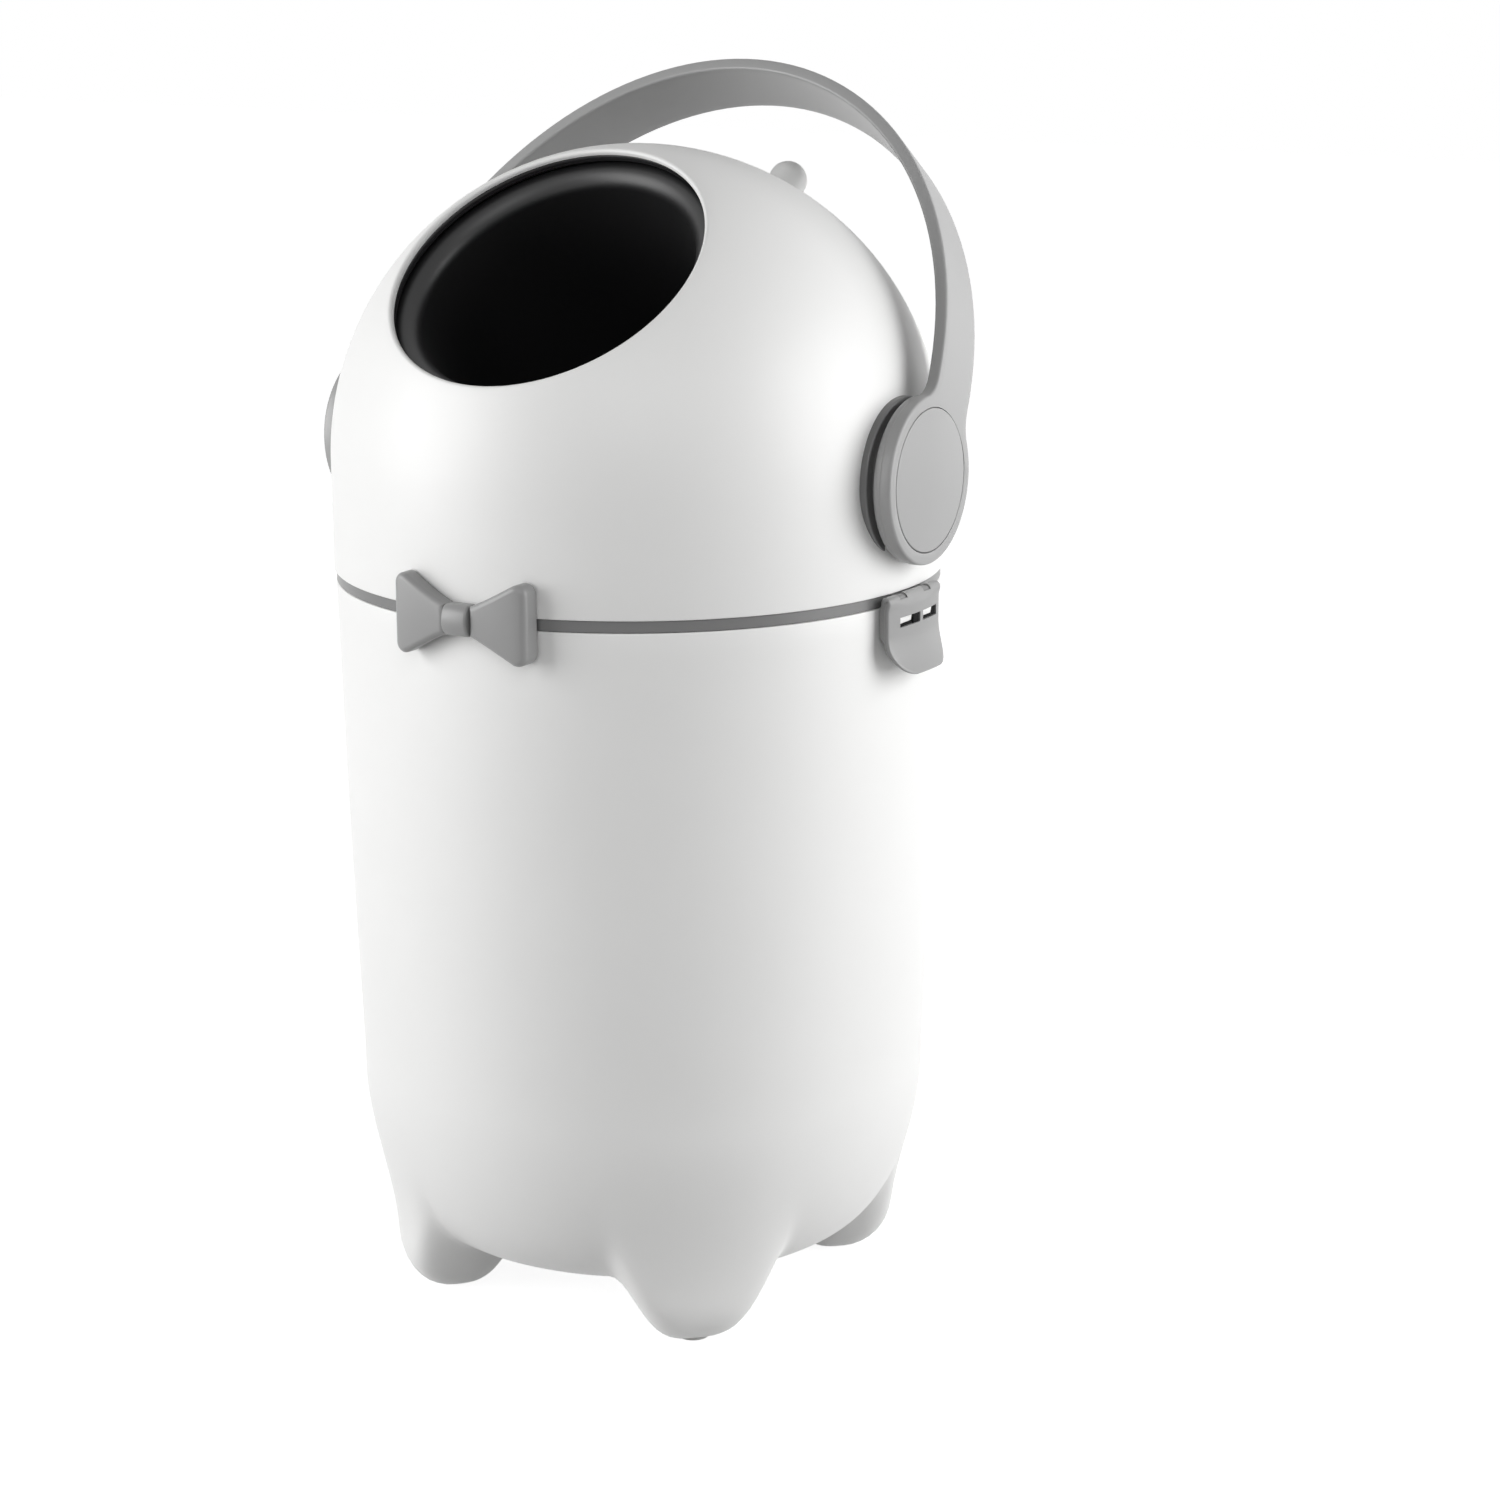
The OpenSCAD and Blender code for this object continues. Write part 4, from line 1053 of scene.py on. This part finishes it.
@dataclass
class Handle:
    """The grey strap with a round hub at each end, and the caps in the hubs."""

    m: Measures
    reach: float = 198.6 * MM
    leg: float = 18 * MM
    strap_w: float = 34 * MM
    strap_t: float = 6 * MM
    hub_r: float = 37.5 * MM
    fillet: float = 16 * MM
    lean: float = 34.7
    edge: float = 1.3 * MM
    hub_steps: int = 30
    fillet_steps: int = 6
    arch_steps: int = 34
    columns: int = 8
    hub_in: float = 9.6 * MM
    hub_lap: float = 1 * MM
    hub_inset: float = 0.5 * MM
    hub_corner: float = 2.6 * MM
    corner_steps: int = 5
    cap_r: float = 32 * MM
    cap_t: float = 2.5 * MM
    cap_gap: float = 0.15 * MM
    cap_line: float = 0.25 * MM
    cap_seat: float = 0.1 * MM
    cap_edge: float = 0.5 * MM
    cap_steps: int = 4

    def stations(self) -> list[tuple[float, float, float]]:
        """Stations of the right half, from the hub's lowest point to the top of the arch.

        Returns:
            Reach out along X, height above the axis and half width at each station.
        """
        half = self.strap_w / 2
        far = half + self.fillet
        up = math.sqrt((self.hub_r + self.fillet) ** 2 - far ** 2)
        turn = math.degrees(math.atan2(up, far))
        round_hub = arc((0, 0), self.hub_r, -90, turn, self.hub_steps)
        inwards = arc((far, up), self.fillet, 180 + turn, 180, self.fillet_steps)[1:]
        rise = self.reach - self.leg
        start = math.asin((up - self.leg) / rise)
        arch = [start + (QUARTER - start) * i / self.arch_steps for i in range(1, self.arch_steps + 1)]

        def outside(z: float) -> float:
            """Reach of the strap's outer face along X at a height above the axis."""
            share = max(0.0, (z - self.leg) / rise)
            return self.m.handle_x * math.sqrt(1 - share * share)

        return ([(outside(z), z, w) for w, z in round_hub + inwards]
                + [(self.m.handle_x * math.cos(a), self.leg + rise * math.sin(a), half) for a in arch])

    def strap(self) -> bpy.types.Object:
        """Lays the strap's outer face from hub to hub and gives it its thickness.

        Returns:
            The strap with its turning axis at the origin.
        """
        right = self.stations()
        path = right + [(-x, z, w) for x, z, w in reversed(right[:-1])]

        def spot(u: float, v: float) -> Vector:
            """Place at u along the strap and v across it."""
            x, z, w = path[round(u * (len(path) - 1))]
            return Vector((x, w * (2 * v - 1), z))

        strap = outwards(laid("handle_arch", len(path) - 1, self.columns, spot), Vector((0, 0, self.leg)))
        with editing(strap):
            # The hubs are flat, so each becomes one face
            pick(strap, "faces", ends(lambda p: p.z < self.leg + TINY))
            bpy.ops.mesh.dissolve_faces()
        thicken(strap, self.strap_t)
        return round_edges(strap, self.edge, segments=4)

    def hub(self, side: Side) -> bpy.types.Object:
        """Turns the thick inner part of a hub.

        Args:
            side: the side that it is on.

        Returns:
            The part with the strap's axis at the origin.
        """
        back, front = self.m.handle_x - self.hub_in, self.m.handle_x - self.strap_t + self.hub_lap
        radius = self.hub_r - self.hub_inset
        low_corner = (radius - self.hub_corner, back + self.hub_corner)
        outline = ([(0, back)] + arc(low_corner, self.hub_corner, -90, 0, self.corner_steps)
                   + [(radius, front), (0, front)])
        return place(turned(f"hub_{side.word}", outline, ROUND), side.facing(0))

    def recess(self, side: Side) -> bpy.types.Object:
        """Makes the cutter for a cap's recess."""
        cutter = plug("recess", self.cap_r + self.cap_gap, self.m.handle_x - self.cap_t - self.cap_seat,
                      self.m.handle_x + self.cap_t)
        return place(cutter, side.facing(0))

    def cap(self, side: Side) -> bpy.types.Object:
        """Turns a cap with a fine rounded edge.

        Args:
            side: the side that it is on.

        Returns:
            The cap.
        """
        low, high = self.m.handle_x - self.cap_t, self.m.handle_x
        radius = self.cap_r - self.cap_line
        top_corner = (radius - self.cap_edge, high - self.cap_edge)
        outline = ([(0, low), (radius, low)] + arc(top_corner, self.cap_edge, 0, 90, self.cap_steps)
                   + [(0, high)])
        return place(turned(f"cap_{side.word}", outline, FINE_ROUND), side.facing(self.m.axis_z))

    def build(self) -> None:
        """Makes the handle as one moulding, and its two caps."""
        handle = cut(self.strap(), *(self.recess(side) for side in Side))
        rim_r = self.cap_r + self.cap_gap
        with editing(handle):
            pick(handle, "edges", ends(lambda p: abs(p.yz.length - rim_r) < NEAR
                                       and abs(p.x) > self.m.handle_x - NEAR))
            bpy.ops.mesh.bevel(offset=self.cap_edge, segments=3, affect="EDGES")
        join(handle, *(self.hub(side) for side in Side))
        lean = Matrix.Translation((0, 0, self.m.axis_z)) @ Matrix.Rotation(-math.radians(self.lean), 4, "X")
        hand_in(place(handle, lean), "drum", GREY_HANDLE, "handle")
        for side in Side:
            hand_in(self.cap(side), "drum", GREY_HANDLE, f"hub_cap_{side.word}")


@dataclass
class Bearing:
    """The grey base ring between a hub and the dome, with its sleeve."""

    m: Measures
    flange_r: float = 36 * MM
    sleeve_r: float = 22 * MM
    bore_r: float = 14.06 * MM
    face_in: float = 10.1 * MM
    groove_w: float = 2.4 * MM
    groove_d: float = 5 * MM
    root_in: float = 7 * MM
    sleeve_reach: float = 14 * MM
    corner: float = 1.1 * MM
    corner_steps: int = 5

    def build(self) -> None:
        """Turns the two base rings."""
        face = self.m.handle_x - self.face_in
        step = face - self.groove_w
        root = self.m.head_r - self.root_in
        sleeve_low = self.m.head_r - self.sleeve_reach
        outline = ([(self.bore_r, sleeve_low), (self.sleeve_r, sleeve_low), (self.sleeve_r, root),
                    (self.flange_r, root)]
                   + arc((self.flange_r - self.corner, step - self.corner), self.corner, 0, 90,
                         self.corner_steps)
                   + [(self.flange_r - self.groove_d, step), (self.flange_r - self.groove_d, face),
                      (self.bore_r, face), (self.bore_r, sleeve_low)])
        for side in Side:
            ring = place(turned(f"hub_base_{side.word}", outline, ROUND), side.facing(self.m.axis_z))
            # The base rings take the darker copy of the trim's finish: painted shade
            hand_in(ring, "head", GREY_TRIM_SHADED, f"bearing_ring_{side.word}")


@dataclass(frozen=True)
class FlapRow:
    """One level row of a latch's face, from its middle out to both sides."""

    half: float
    point: Vector
    inwards: Vector
    curve: float


@dataclass
class Latch:
    """A grey latch flap: a curved face with a flared lip, side cheeks and knuckles, and a black catch whose black
    is painted shade for the dark behind the windows.
    """

    m: Measures
    side: Side
    width: float = 48 * MM
    height: float = 35 * MM
    stand_out: float = 6.6 * MM
    wall: float = 2.4 * MM
    skin: float = 0.45 * MM
    nose_r: float = 2.7 * MM
    nose_turn: float = 30
    nose_end: float = 118
    nose_steps: int = 11
    barrel_r: float = 2.4 * MM
    lip_out: float = 7 * MM
    lip_h: float = 18 * MM
    corner_r: float = 14 * MM
    corner_steps: int = 14
    rim_r: float = 0.9 * MM
    rim_shares: tuple[float, ...] = (1, 0.7, 0.45, 0.22, 0.07, 0)
    cheek_t: float = 2 * MM
    cheek_in: float = 1.3 * MM
    cheek_gap: float = 1.4 * MM
    cheek_drop: float = 3 * MM
    cheek_inset: float = 1.2 * MM
    cheek_edge: float = 0.3 * MM
    cheek_start: float = 8
    cheek_end: float = 190
    knuckle_edge: float = 0.25 * MM
    knuckle_steps: int = 24
    lug_y: float = 11 * MM
    lug_half_w: float = 3.3 * MM
    lug_clear: float = 0.1 * MM
    gap_rise: float = 0.6 * MM
    windows: tuple[tuple[float, float], ...] = ((-15 * MM, 2.3 * MM), (5 * MM, 20 * MM))
    window_z: tuple[float, float] = (330 * MM, 334.5 * MM)
    catch_t: float = 2.6 * MM
    catch_lap: float = 0.05 * MM
    filling_in: float = 0.7 * MM
    filling_edge: float = 0.15 * MM
    catch_edge: float = 1.5 * MM
    notches: tuple[tuple[float, float], ...] = ((-15 * MM, -2.8 * MM), (5 * MM, 15.7 * MM))
    notch_z: tuple[float, float] = (331.1 * MM, 334.7 * MM)
    pitch: float = 2 * MM
    row_pitch: float = 1 * MM

    def __post_init__(self) -> None:
        """Works out the sizes that follow from the fields."""
        self.face_r = self.m.belt_r + self.stand_out
        self.half = self.width / 2
        self.low_z = self.m.pin.z + self.barrel_r - self.height
        self.corner_z = self.low_z + self.corner_r
        self.under_lug_z = self.m.pin.z - self.barrel_r - self.lug_clear
        self.gap_z = self.m.pin.z + self.gap_rise
        self.gaps = tuple((y - self.lug_half_w, y + self.lug_half_w) for y in (-self.lug_y, self.lug_y))
        lean = math.radians(self.nose_turn)
        self.nose_low = self.m.pin.z + self.nose_r * math.sin(lean)
        self.stand = self.face_r - self.m.pin.x
        self.swell_h = 2 * (self.stand - self.nose_r * math.cos(lean)) / math.tan(lean)
        self.swell_low = self.nose_low - self.swell_h

    def level(self, half: float, z: float) -> FlapRow:
        """Row below the nose: the lip, the straight face or the swell under the hinge.

        Args:
            half: half its width.
            z: its height.

        Returns:
            The row.
        """
        flare = max(0.0, 1 - (z - self.low_z) / self.lip_h)
        rise = max(0.0, z - self.swell_low)
        swell = rise * rise * math.tan(math.radians(self.nose_turn)) / (2 * self.swell_h)
        out = self.m.pin.x + self.stand - swell + self.lip_out * flare * flare
        return FlapRow(half, Vector((out, z)), Vector((-1, 0)), soft((self.nose_low - z) / self.swell_h))

    def rows(self) -> list[FlapRow]:
        """All rows, from the lip's edge up over the nose to the belt.

        Returns:
            The rows in order.
        """
        r = self.corner_r
        turns = [QUARTER * i / self.corner_steps for i in range(self.corner_steps)]
        rows = [self.level(self.half - r + r * math.sin(a), self.corner_z - r * math.cos(a)) for a in turns]
        stops = [self.corner_z, *self.window_z, self.under_lug_z, self.gap_z, self.nose_low]
        rows += [self.level(self.half, z) for z in filled(stops, self.row_pitch)]
        middle = Vector((self.m.pin.x, self.m.pin.z))
        for point in arc((0, 0), 1, self.nose_turn, self.nose_end, self.nose_steps)[1:]:
            rows.append(FlapRow(self.half, middle + Vector(point) * self.nose_r, -Vector(point), 0))
        return rows

    def to_rim(self, y: float, z: float) -> float:
        """Distance from a point of the face to its side or lower edge.

        Args:
            y: the point's place across.
            z: its height.

        Returns:
            The distance.
        """
        over = abs(y) - (self.half - self.corner_r)
        if z >= self.corner_z:
            return self.half - abs(y)
        if over <= 0:
            return z - self.low_z
        return self.corner_r - math.hypot(over, self.corner_z - z)

    def sag(self, y: float) -> float:
        """How far the round face falls back at y."""
        return self.face_r - math.sqrt(self.face_r ** 2 - y * y)

    def spot(self, column: float, row: FlapRow, back: bool) -> Vector:
        """Place on the flap's front or back, with a round rim between the two.

        Args:
            column: place across, on a row of full width.
            row: the row.
            back: whether it is on the back.

        Returns:
            The place.
        """
        y = column * row.half / self.half
        near = max(0.0, self.rim_r - self.to_rim(y, row.point.y))
        drop = self.rim_r - math.sqrt(max(0.0, self.rim_r ** 2 - near ** 2))
        over_lug = row.point.y > self.under_lug_z and any(a - TINY < y < b + TINY for a, b in self.gaps)
        depth = (self.skin if over_lug else self.wall - drop) if back else drop
        point = row.point + row.inwards * depth
        return Vector((point.x - self.sag(y) * row.curve, y, point.y))

    def is_open(self, p: Vector) -> bool:
        """Whether a point of the face lies in a window or in a gap over the belt's lugs.

        Args:
            p: the point.

        Returns:
            True where the face is left out.
        """
        in_window = self.window_z[0] < p.z < self.window_z[1] and any(a < p.y < b for a, b in self.windows)
        in_gap = p.z > self.gap_z and any(a < p.y < b for a, b in self.gaps)
        return in_window or in_gap

    def plate(self) -> bpy.types.Object:
        """Lays the face, with more points near its rounded rim.

        Returns:
            The face with its wall.
        """
        inset = [self.half - self.rim_r * share for share in self.rim_shares]
        sides = [y for span in self.windows + self.gaps for y in span]
        inner = filled([-inset[0], *sorted(sides), inset[0]], self.pitch)[1:-1]
        columns = [-y for y in reversed(inset)] + inner + inset
        return walled(f"flap_{self.side.word}", columns, self.rows(), self.spot, self.is_open)

    def cheek(self, end: int) -> bpy.types.Object:
        """Presses the side wall at one end, from the hinge down to the rounded corner.

        Args:
            end: -1 or 1, the end's sign along Y.

        Returns:
            The side wall.
        """
        y = self.half - self.cheek_in
        back = math.sqrt((self.m.belt_r + self.cheek_gap) ** 2 - y * y)
        levels = filled([self.corner_z - self.cheek_drop, self.swell_low, self.nose_low], self.pitch)
        front = [(self.spot(y, self.level(self.half, z), False).x - self.cheek_inset, z) for z in levels]
        hinge = (self.m.pin.x, self.m.pin.z)
        outline = ([(back, self.corner_z + self.cheek_drop)] + front
                   + arc(hinge, self.nose_r - self.cheek_edge, self.nose_turn + self.cheek_start,
                         self.cheek_end, self.corner_steps)
                   + [(back, self.m.pin.z - self.barrel_r)])
        cheek = pressed("cheek", outline, end * y, end * (y - self.cheek_t))
        return round_edges(cheek, self.cheek_edge, segments=2)

    def knuckles(self) -> list[bpy.types.Object]:
        """Presses the three hinge knuckles between and beside the belt's lugs.

        Returns:
            The knuckles.
        """
        half, near, far = self.half - self.rim_r, self.lug_y - self.lug_half_w, self.lug_y + self.lug_half_w
        last_turn = 360 - 360 / self.knuckle_steps
        ring = arc((self.m.pin.x, self.m.pin.z), self.barrel_r, 0, last_turn, self.knuckle_steps - 1)
        spans = ((-half, -far), (-near, near), (far, half))
        bars = [pressed(f"knuckle_{i}", ring, start, end) for i, (start, end) in enumerate(spans)]
        return [round_edges(bar, self.knuckle_edge, segments=2, sharper=60) for bar in bars]

    def catch(self) -> bpy.types.Object:
        """Lays the black catch behind the windows, with a notch for each of the bucket's lugs; its black is
        painted shade for the dark behind the windows.

        Returns:
            The catch.
        """
        front_r = self.face_r - self.wall + self.catch_lap
        edge = self.catch_edge
        spans = [self.windows[0][0] - edge, *(y for span in self.notches for y in span),
                 self.windows[1][1] + edge]
        levels = [self.window_z[0] - edge, *self.notch_z, self.window_z[1] + edge]

        def spot(y: float, z: float, back: bool) -> Vector:
            """Place on the catch's front or back, both round."""
            radius = front_r - self.catch_t if back else front_r
            return Vector((math.sqrt(radius ** 2 - y * y), y, z))

        def notched(p: Vector) -> bool:
            """Whether a point of the catch lies in a notch."""
            return self.notch_z[0] < p.z < self.notch_z[1] and any(a < p.y < b for a, b in self.notches)

        plate = walled(f"catch_{self.side.word}", filled(spans, self.pitch), levels, spot, notched)
        return join(plate, *(self.filling(y, z) for y, z in self.black_parts()))

    def black_parts(self) -> list[tuple[tuple[float, float], tuple[float, float]]]:
        """Spans in y and z of the black blocks of painted shade that fill each window beside and below its lug.

        Returns:
            For each part, its ends along Y and its ends along Z.
        """
        low, high = self.window_z
        parts = []
        for window, notch in zip(self.windows, self.notches):
            parts += [((notch[1], window[1]), (low, high)), ((window[0], notch[1]), (low, self.notch_z[0]))]
        return parts

    def filling(self, span: tuple[float, float], level: tuple[float, float]) -> bpy.types.Object:
        """Makes one black block of the catch that stands in a window, a little below the face, as painted shade.

        Args:
            span: its ends along Y.
            level: its ends along Z.

        Returns:
            The block.
        """
        back = self.face_r - self.wall - self.catch_t / 2
        front = self.sag(max(abs(y) for y in span))
        low = Vector((back, span[0] + TINY, level[0] + TINY))
        high = Vector((self.face_r - front - self.filling_in, span[1] - TINY, level[1] - TINY))
        return round_edges(block("filling", low, high), self.filling_edge, segments=2)

    def build(self) -> None:
        """Makes the flap with its cheeks and knuckles and the catch in it, mirrored for the left."""
        mirror = Matrix.Scale(self.side.value, 4, (1, 0, 0))
        body = f"latch_flap_{self.side.word}"
        flap = join(self.plate(), self.cheek(-1), self.cheek(1), *self.knuckles())
        hand_in(place(flap, mirror), body, GREY_TRIM, f"latch_{self.side.word}")
        # The catch's near-black, dull finish is painted shade for the dark behind the windows
        hand_in(place(self.catch(), mirror), body, BLACK_PAINTED_SHADE)


@dataclass
class BowTie:
    """The grey bow on the belt: two padded wings that widen outwards, and the knot between them."""

    m: Measures
    half_w: float = 34 * MM
    half_h: float = 21 * MM
    waist_h: float = 6.6 * MM
    knot_w: float = 6.4 * MM
    knot_h: float = 6.9 * MM
    front_r: float = 149.6 * MM
    back_r: float = 140.8 * MM
    dip: float = 1.2 * MM
    corner_r: float = 4.6 * MM
    curve: float = 1.1
    edge: float = 2.7 * MM
    knot_proud: float = 1 * MM
    knot_depth: float = 4.5 * MM
    knot_edge: float = 1.2 * MM
    bulge_steps: int = 18
    below_seam: float = 2 * MM
    run_steps: int = 8
    corner_steps: int = 10
    edge_steps: int = 7
    wrap_pitch: float = 1.5 * MM

    def __post_init__(self) -> None:
        """Works out the sizes that follow from the fields."""
        self.middle_z = self.m.seam_z - self.below_seam
        self.depth = self.front_r - self.back_r

    def wing_outline(self) -> Outline:
        """Outline of the right wing about the bow's middle.

        Returns:
            Points as x and height.
        """
        span, rise = self.half_w - self.knot_w, self.half_h - self.waist_h
        slope = math.atan(self.curve * rise / span)
        start_x = self.half_w - self.corner_r * (1 + math.sin(slope))
        last = (start_x - self.knot_w) / span
        shares = (last * i / self.run_steps for i in range(self.run_steps + 1))
        run = [(self.knot_w + span * t, self.waist_h + rise * t ** self.curve) for t in shares]
        corner = (self.half_w - self.corner_r, run[-1][1] - self.corner_r * math.cos(slope))
        upper = run[:-1] + arc(corner, self.corner_r, 90 + math.degrees(slope), 0, self.corner_steps)
        return upper + [(x, -z) for x, z in reversed(upper)]

    def wing(self, side: Side) -> bpy.types.Object:
        """Presses one wing flat, pads its front edges and wraps it round the belt.

        Args:
            side: the side that it is on.

        Returns:
            The wing.
        """
        side_h = self.depth - self.edge
        wing = pressed(f"bow_wing_{side.word}", self.wing_outline(), 0, -side_h)
        turns = [QUARTER * i / self.edge_steps for i in range(self.edge_steps + 1)]
        with editing(wing):
            pick(wing, "faces", ends(lambda p: p.y < TINY - side_h))
            for near, far in zip(turns, turns[1:]):
                bpy.ops.mesh.inset(thickness=self.edge * (math.cos(near) - math.cos(far)),
                                   depth=self.edge * (math.sin(far) - math.sin(near)), use_even_offset=True)
            for x in filled([self.knot_w, self.half_w], self.wrap_pitch)[1:-1]:
                bpy.ops.mesh.select_all(action="SELECT")
                bpy.ops.mesh.bisect(plane_co=(x, 0, 0), plane_no=(1, 0, 0), threshold=TINY / 10)
        span = self.half_w - self.knot_w
        for vert in wing.data.vertices:
            x, share = vert.co.x, -vert.co.y / self.depth
            front = self.front_r - self.dip * soft((self.half_w - x) / span)
            radius = self.back_r + (front - self.back_r) * share
            vert.co = (x, -math.sqrt(radius ** 2 - x * x), self.middle_z + vert.co.z)
        return place(wing, Matrix.Scale(side.value, 4, (1, 0, 0)))

    def knot(self) -> bpy.types.Object:
        """Presses the knot: a band that bulges to the front.

        Returns:
            The knot.
        """
        front, back = self.front_r + self.knot_proud, self.back_r
        middle = front - self.knot_depth
        half_round = arc((0, 0), 1, -90, 90, self.bulge_steps)
        bulge = [(middle + self.knot_depth * c, self.knot_h * s) for c, s in half_round]
        outline = [(back, -self.knot_h)] + bulge + [(back, self.knot_h)]
        knot = pressed("knot", outline, -self.knot_w, self.knot_w)
        round_edges(knot, self.knot_edge, segments=4)
        face_front = Matrix.Translation((0, 0, self.middle_z)) @ Matrix.Rotation(-QUARTER, 4, "Z")
        return place(knot, face_front)

    def build(self) -> None:
        """Makes the wings as one moulding and the knot on them."""
        wings = join(self.wing(Side.LEFT), self.wing(Side.RIGHT))
        wings.name = wings.data.name = "wings"
        hand_in(wings, "head", GREY_TRIM, "bow_wings")
        hand_in(self.knot(), "head", GREY_TRIM, "bow_knot")


def dress_nodes() -> None:
    """Gives every CAD node the finish of its material slot."""
    for subpart in frame["record"]["subparts"]:
        node = frame["nodes"][subpart["node"]]
        # The belt ring takes the darker copy of the trim's finish: painted shade
        finish = GREY_TRIM_SHADED if node.name == "belt_ring" else FINISHES[subpart["material_slot"]]
        for slot in node.material_slots:
            slot.material = finish.material()
        LOG.info("%s wears %s", node.name, finish.name)


# Camera, floor and light


@dataclass(frozen=True)
class Softbox:
    """A square soft light that faces the bin: its turn is in degrees to the camera's right."""

    name: str
    turn: float
    watts: float
    height: float = 0.7
    away: float = 1.5
    size: float = 1.2
    aim_z: float = 0.28

    def hang(self, azimuth: float) -> None:
        """Hangs the light.

        Args:
            azimuth: the camera's own angle round the bin, in degrees.
        """
        a = math.radians(azimuth + self.turn)
        spot = Vector((math.sin(a) * self.away, -math.cos(a) * self.away, self.height))
        data = bpy.data.lights.new(self.name, "AREA")
        data.shape = "SQUARE"
        data.size = self.size
        data.energy = self.watts
        light = bpy.data.objects.new(self.name, data)
        aim = Vector((0, 0, self.aim_z)) - spot
        light.matrix_world = Matrix.Translation(spot) @ aim.to_track_quat("-Z", "Y").to_matrix().to_4x4()
        bpy.context.scene.collection.objects.link(light)


@dataclass
class Studio:
    """The camera at the photograph's angle, a pale floor and soft lights."""

    azimuth: float = 30.439
    elevation: float = 13.965
    roll: float = -0.154
    distance: float = 1.728384
    focal_px: float = 3699.285
    image_px: float = 1500
    aim_right: float = 0.050837
    aim_z: float = 0.253483
    ambient: float = 0.03
    floor_half: float = 6.0
    floor_colour: str = "#B4B4B4"
    glow_reach: tuple[float, float] = (0.35, 1.1)
    glow_near: float = 0.88
    lights: tuple[Softbox, ...] = (
        Softbox("softbox_left", -75, 21),
        Softbox("softbox_right", 77, 21),
        Softbox("softbox_rim", 122, 4),
        Softbox("softbox_front", 0, 9.5, height=1.4, away=1.8),
    )

    def camera(self) -> None:
        """Stands the camera where the photograph was taken."""
        a, e, roll = (math.radians(x) for x in (self.azimuth, self.elevation, self.roll))
        back = Vector((math.sin(a) * math.cos(e), -math.cos(a) * math.cos(e), math.sin(e)))
        right = Vector((math.cos(a), math.sin(a), 0))
        up = back.cross(right)
        rolled_right = right * math.cos(roll) + up * math.sin(roll)
        rolled_up = up * math.cos(roll) - right * math.sin(roll)
        matrix = Matrix((rolled_right, rolled_up, back)).transposed().to_4x4()
        matrix.translation = right * self.aim_right + Vector((0, 0, self.aim_z)) + back * self.distance
        data = bpy.data.cameras.new("camera")
        data.lens = self.focal_px * data.sensor_width / self.image_px
        data.clip_end = 4 * self.floor_half
        camera = bpy.data.objects.new("camera", data)
        camera.matrix_world = matrix
        bpy.context.scene.collection.objects.link(camera)
        bpy.context.scene.camera = camera

    def floor(self) -> None:
        """Lays a pale floor that keeps the bin's shadow near it and is white to the camera farther out."""
        bpy.ops.object.select_all(action="DESELECT")
        bpy.ops.mesh.primitive_grid_add(x_subdivisions=4, y_subdivisions=4, size=2 * self.floor_half)
        floor = named("floor")
        material = bpy.data.materials.new("studio_floor")
        tree = blank(material)
        seen = self.seen_by(tree, "Is Camera Ray", "Is Glossy Ray")
        here = add_node(tree, "ShaderNodeTexCoord").outputs["Object"]
        away = add_node(tree, "ShaderNodeVectorMath", {"operation": "LENGTH"}, Vector=here)
        near, far = self.glow_reach
        level = add_node(tree, "ShaderNodeMapRange", Value=away.outputs["Value"], From_Min=near,
                         From_Max=far, To_Min=self.glow_near, To_Max=1.0)
        strength = add_node(tree, "ShaderNodeMath", {"operation": "MULTIPLY"},
                            {0: seen, 1: level.outputs["Result"]})
        glow = add_node(tree, "ShaderNodeEmission", Color=linear(WHITE), Strength=strength.outputs[0])
        matt = add_node(tree, "ShaderNodeBsdfDiffuse", Color=linear(self.floor_colour))
        both = add_node(tree, "ShaderNodeAddShader", None, {0: glow.outputs[0], 1: matt.outputs[0]})
        add_node(tree, "ShaderNodeOutputMaterial", Surface=both.outputs[0])
        floor.data.materials.append(material)

    def seen_by(self, tree: bpy.types.NodeTree, *kinds: str) -> bpy.types.NodeSocket:
        """Adds a switch that is 1 for some kinds of rays and 0 for all others.

        Args:
            tree: the tree that takes the nodes.
            kinds: names of the Light Path node's outputs.

        Returns:
            The switch's output.
        """
        rays = add_node(tree, "ShaderNodeLightPath").outputs
        seen = rays[kinds[0]]
        for kind in kinds[1:]:
            seen = add_node(tree, "ShaderNodeMath", {"operation": "MAXIMUM"},
                            {0: seen, 1: rays[kind]}).outputs[0]
        return seen

    def world(self) -> None:
        """Makes the surroundings white to the camera and in reflections, and dim as a light."""
        world = bpy.data.worlds.new("studio")
        tree = blank(world)
        seen = self.seen_by(tree, "Is Camera Ray", "Is Glossy Ray", "Is Transmission Ray")
        strength = add_node(tree, "ShaderNodeMapRange", Value=seen, To_Min=self.ambient, To_Max=1.0)
        light = add_node(tree, "ShaderNodeBackground", Color=linear(WHITE),
                         Strength=strength.outputs["Result"])
        add_node(tree, "ShaderNodeOutputWorld", Surface=light.outputs[0])
        bpy.context.scene.world = world

    def build(self) -> None:
        """Sets up camera, floor, world and lights."""
        self.camera()
        self.floor()
        self.world()
        for light in self.lights:
            light.hang(self.azimuth)
        bpy.context.scene.view_settings.view_transform = "Standard"


def main() -> None:
    """Builds and dresses the bin, piece by piece, and lights it."""
    logging.basicConfig(level=logging.INFO, format="%(message)s")
    measures = Measures.from_model()
    dress_nodes()
    Bucket(measures).build()
    dome = Dome(measures)
    dome.build()
    Drum(measures, dome).build()
    Handle(measures).build()
    Bearing(measures).build()
    for side in Side:
        Latch(measures, side).build()
    BowTie(measures).build()
    Studio().build()


if __name__ == "__main__":
    main()
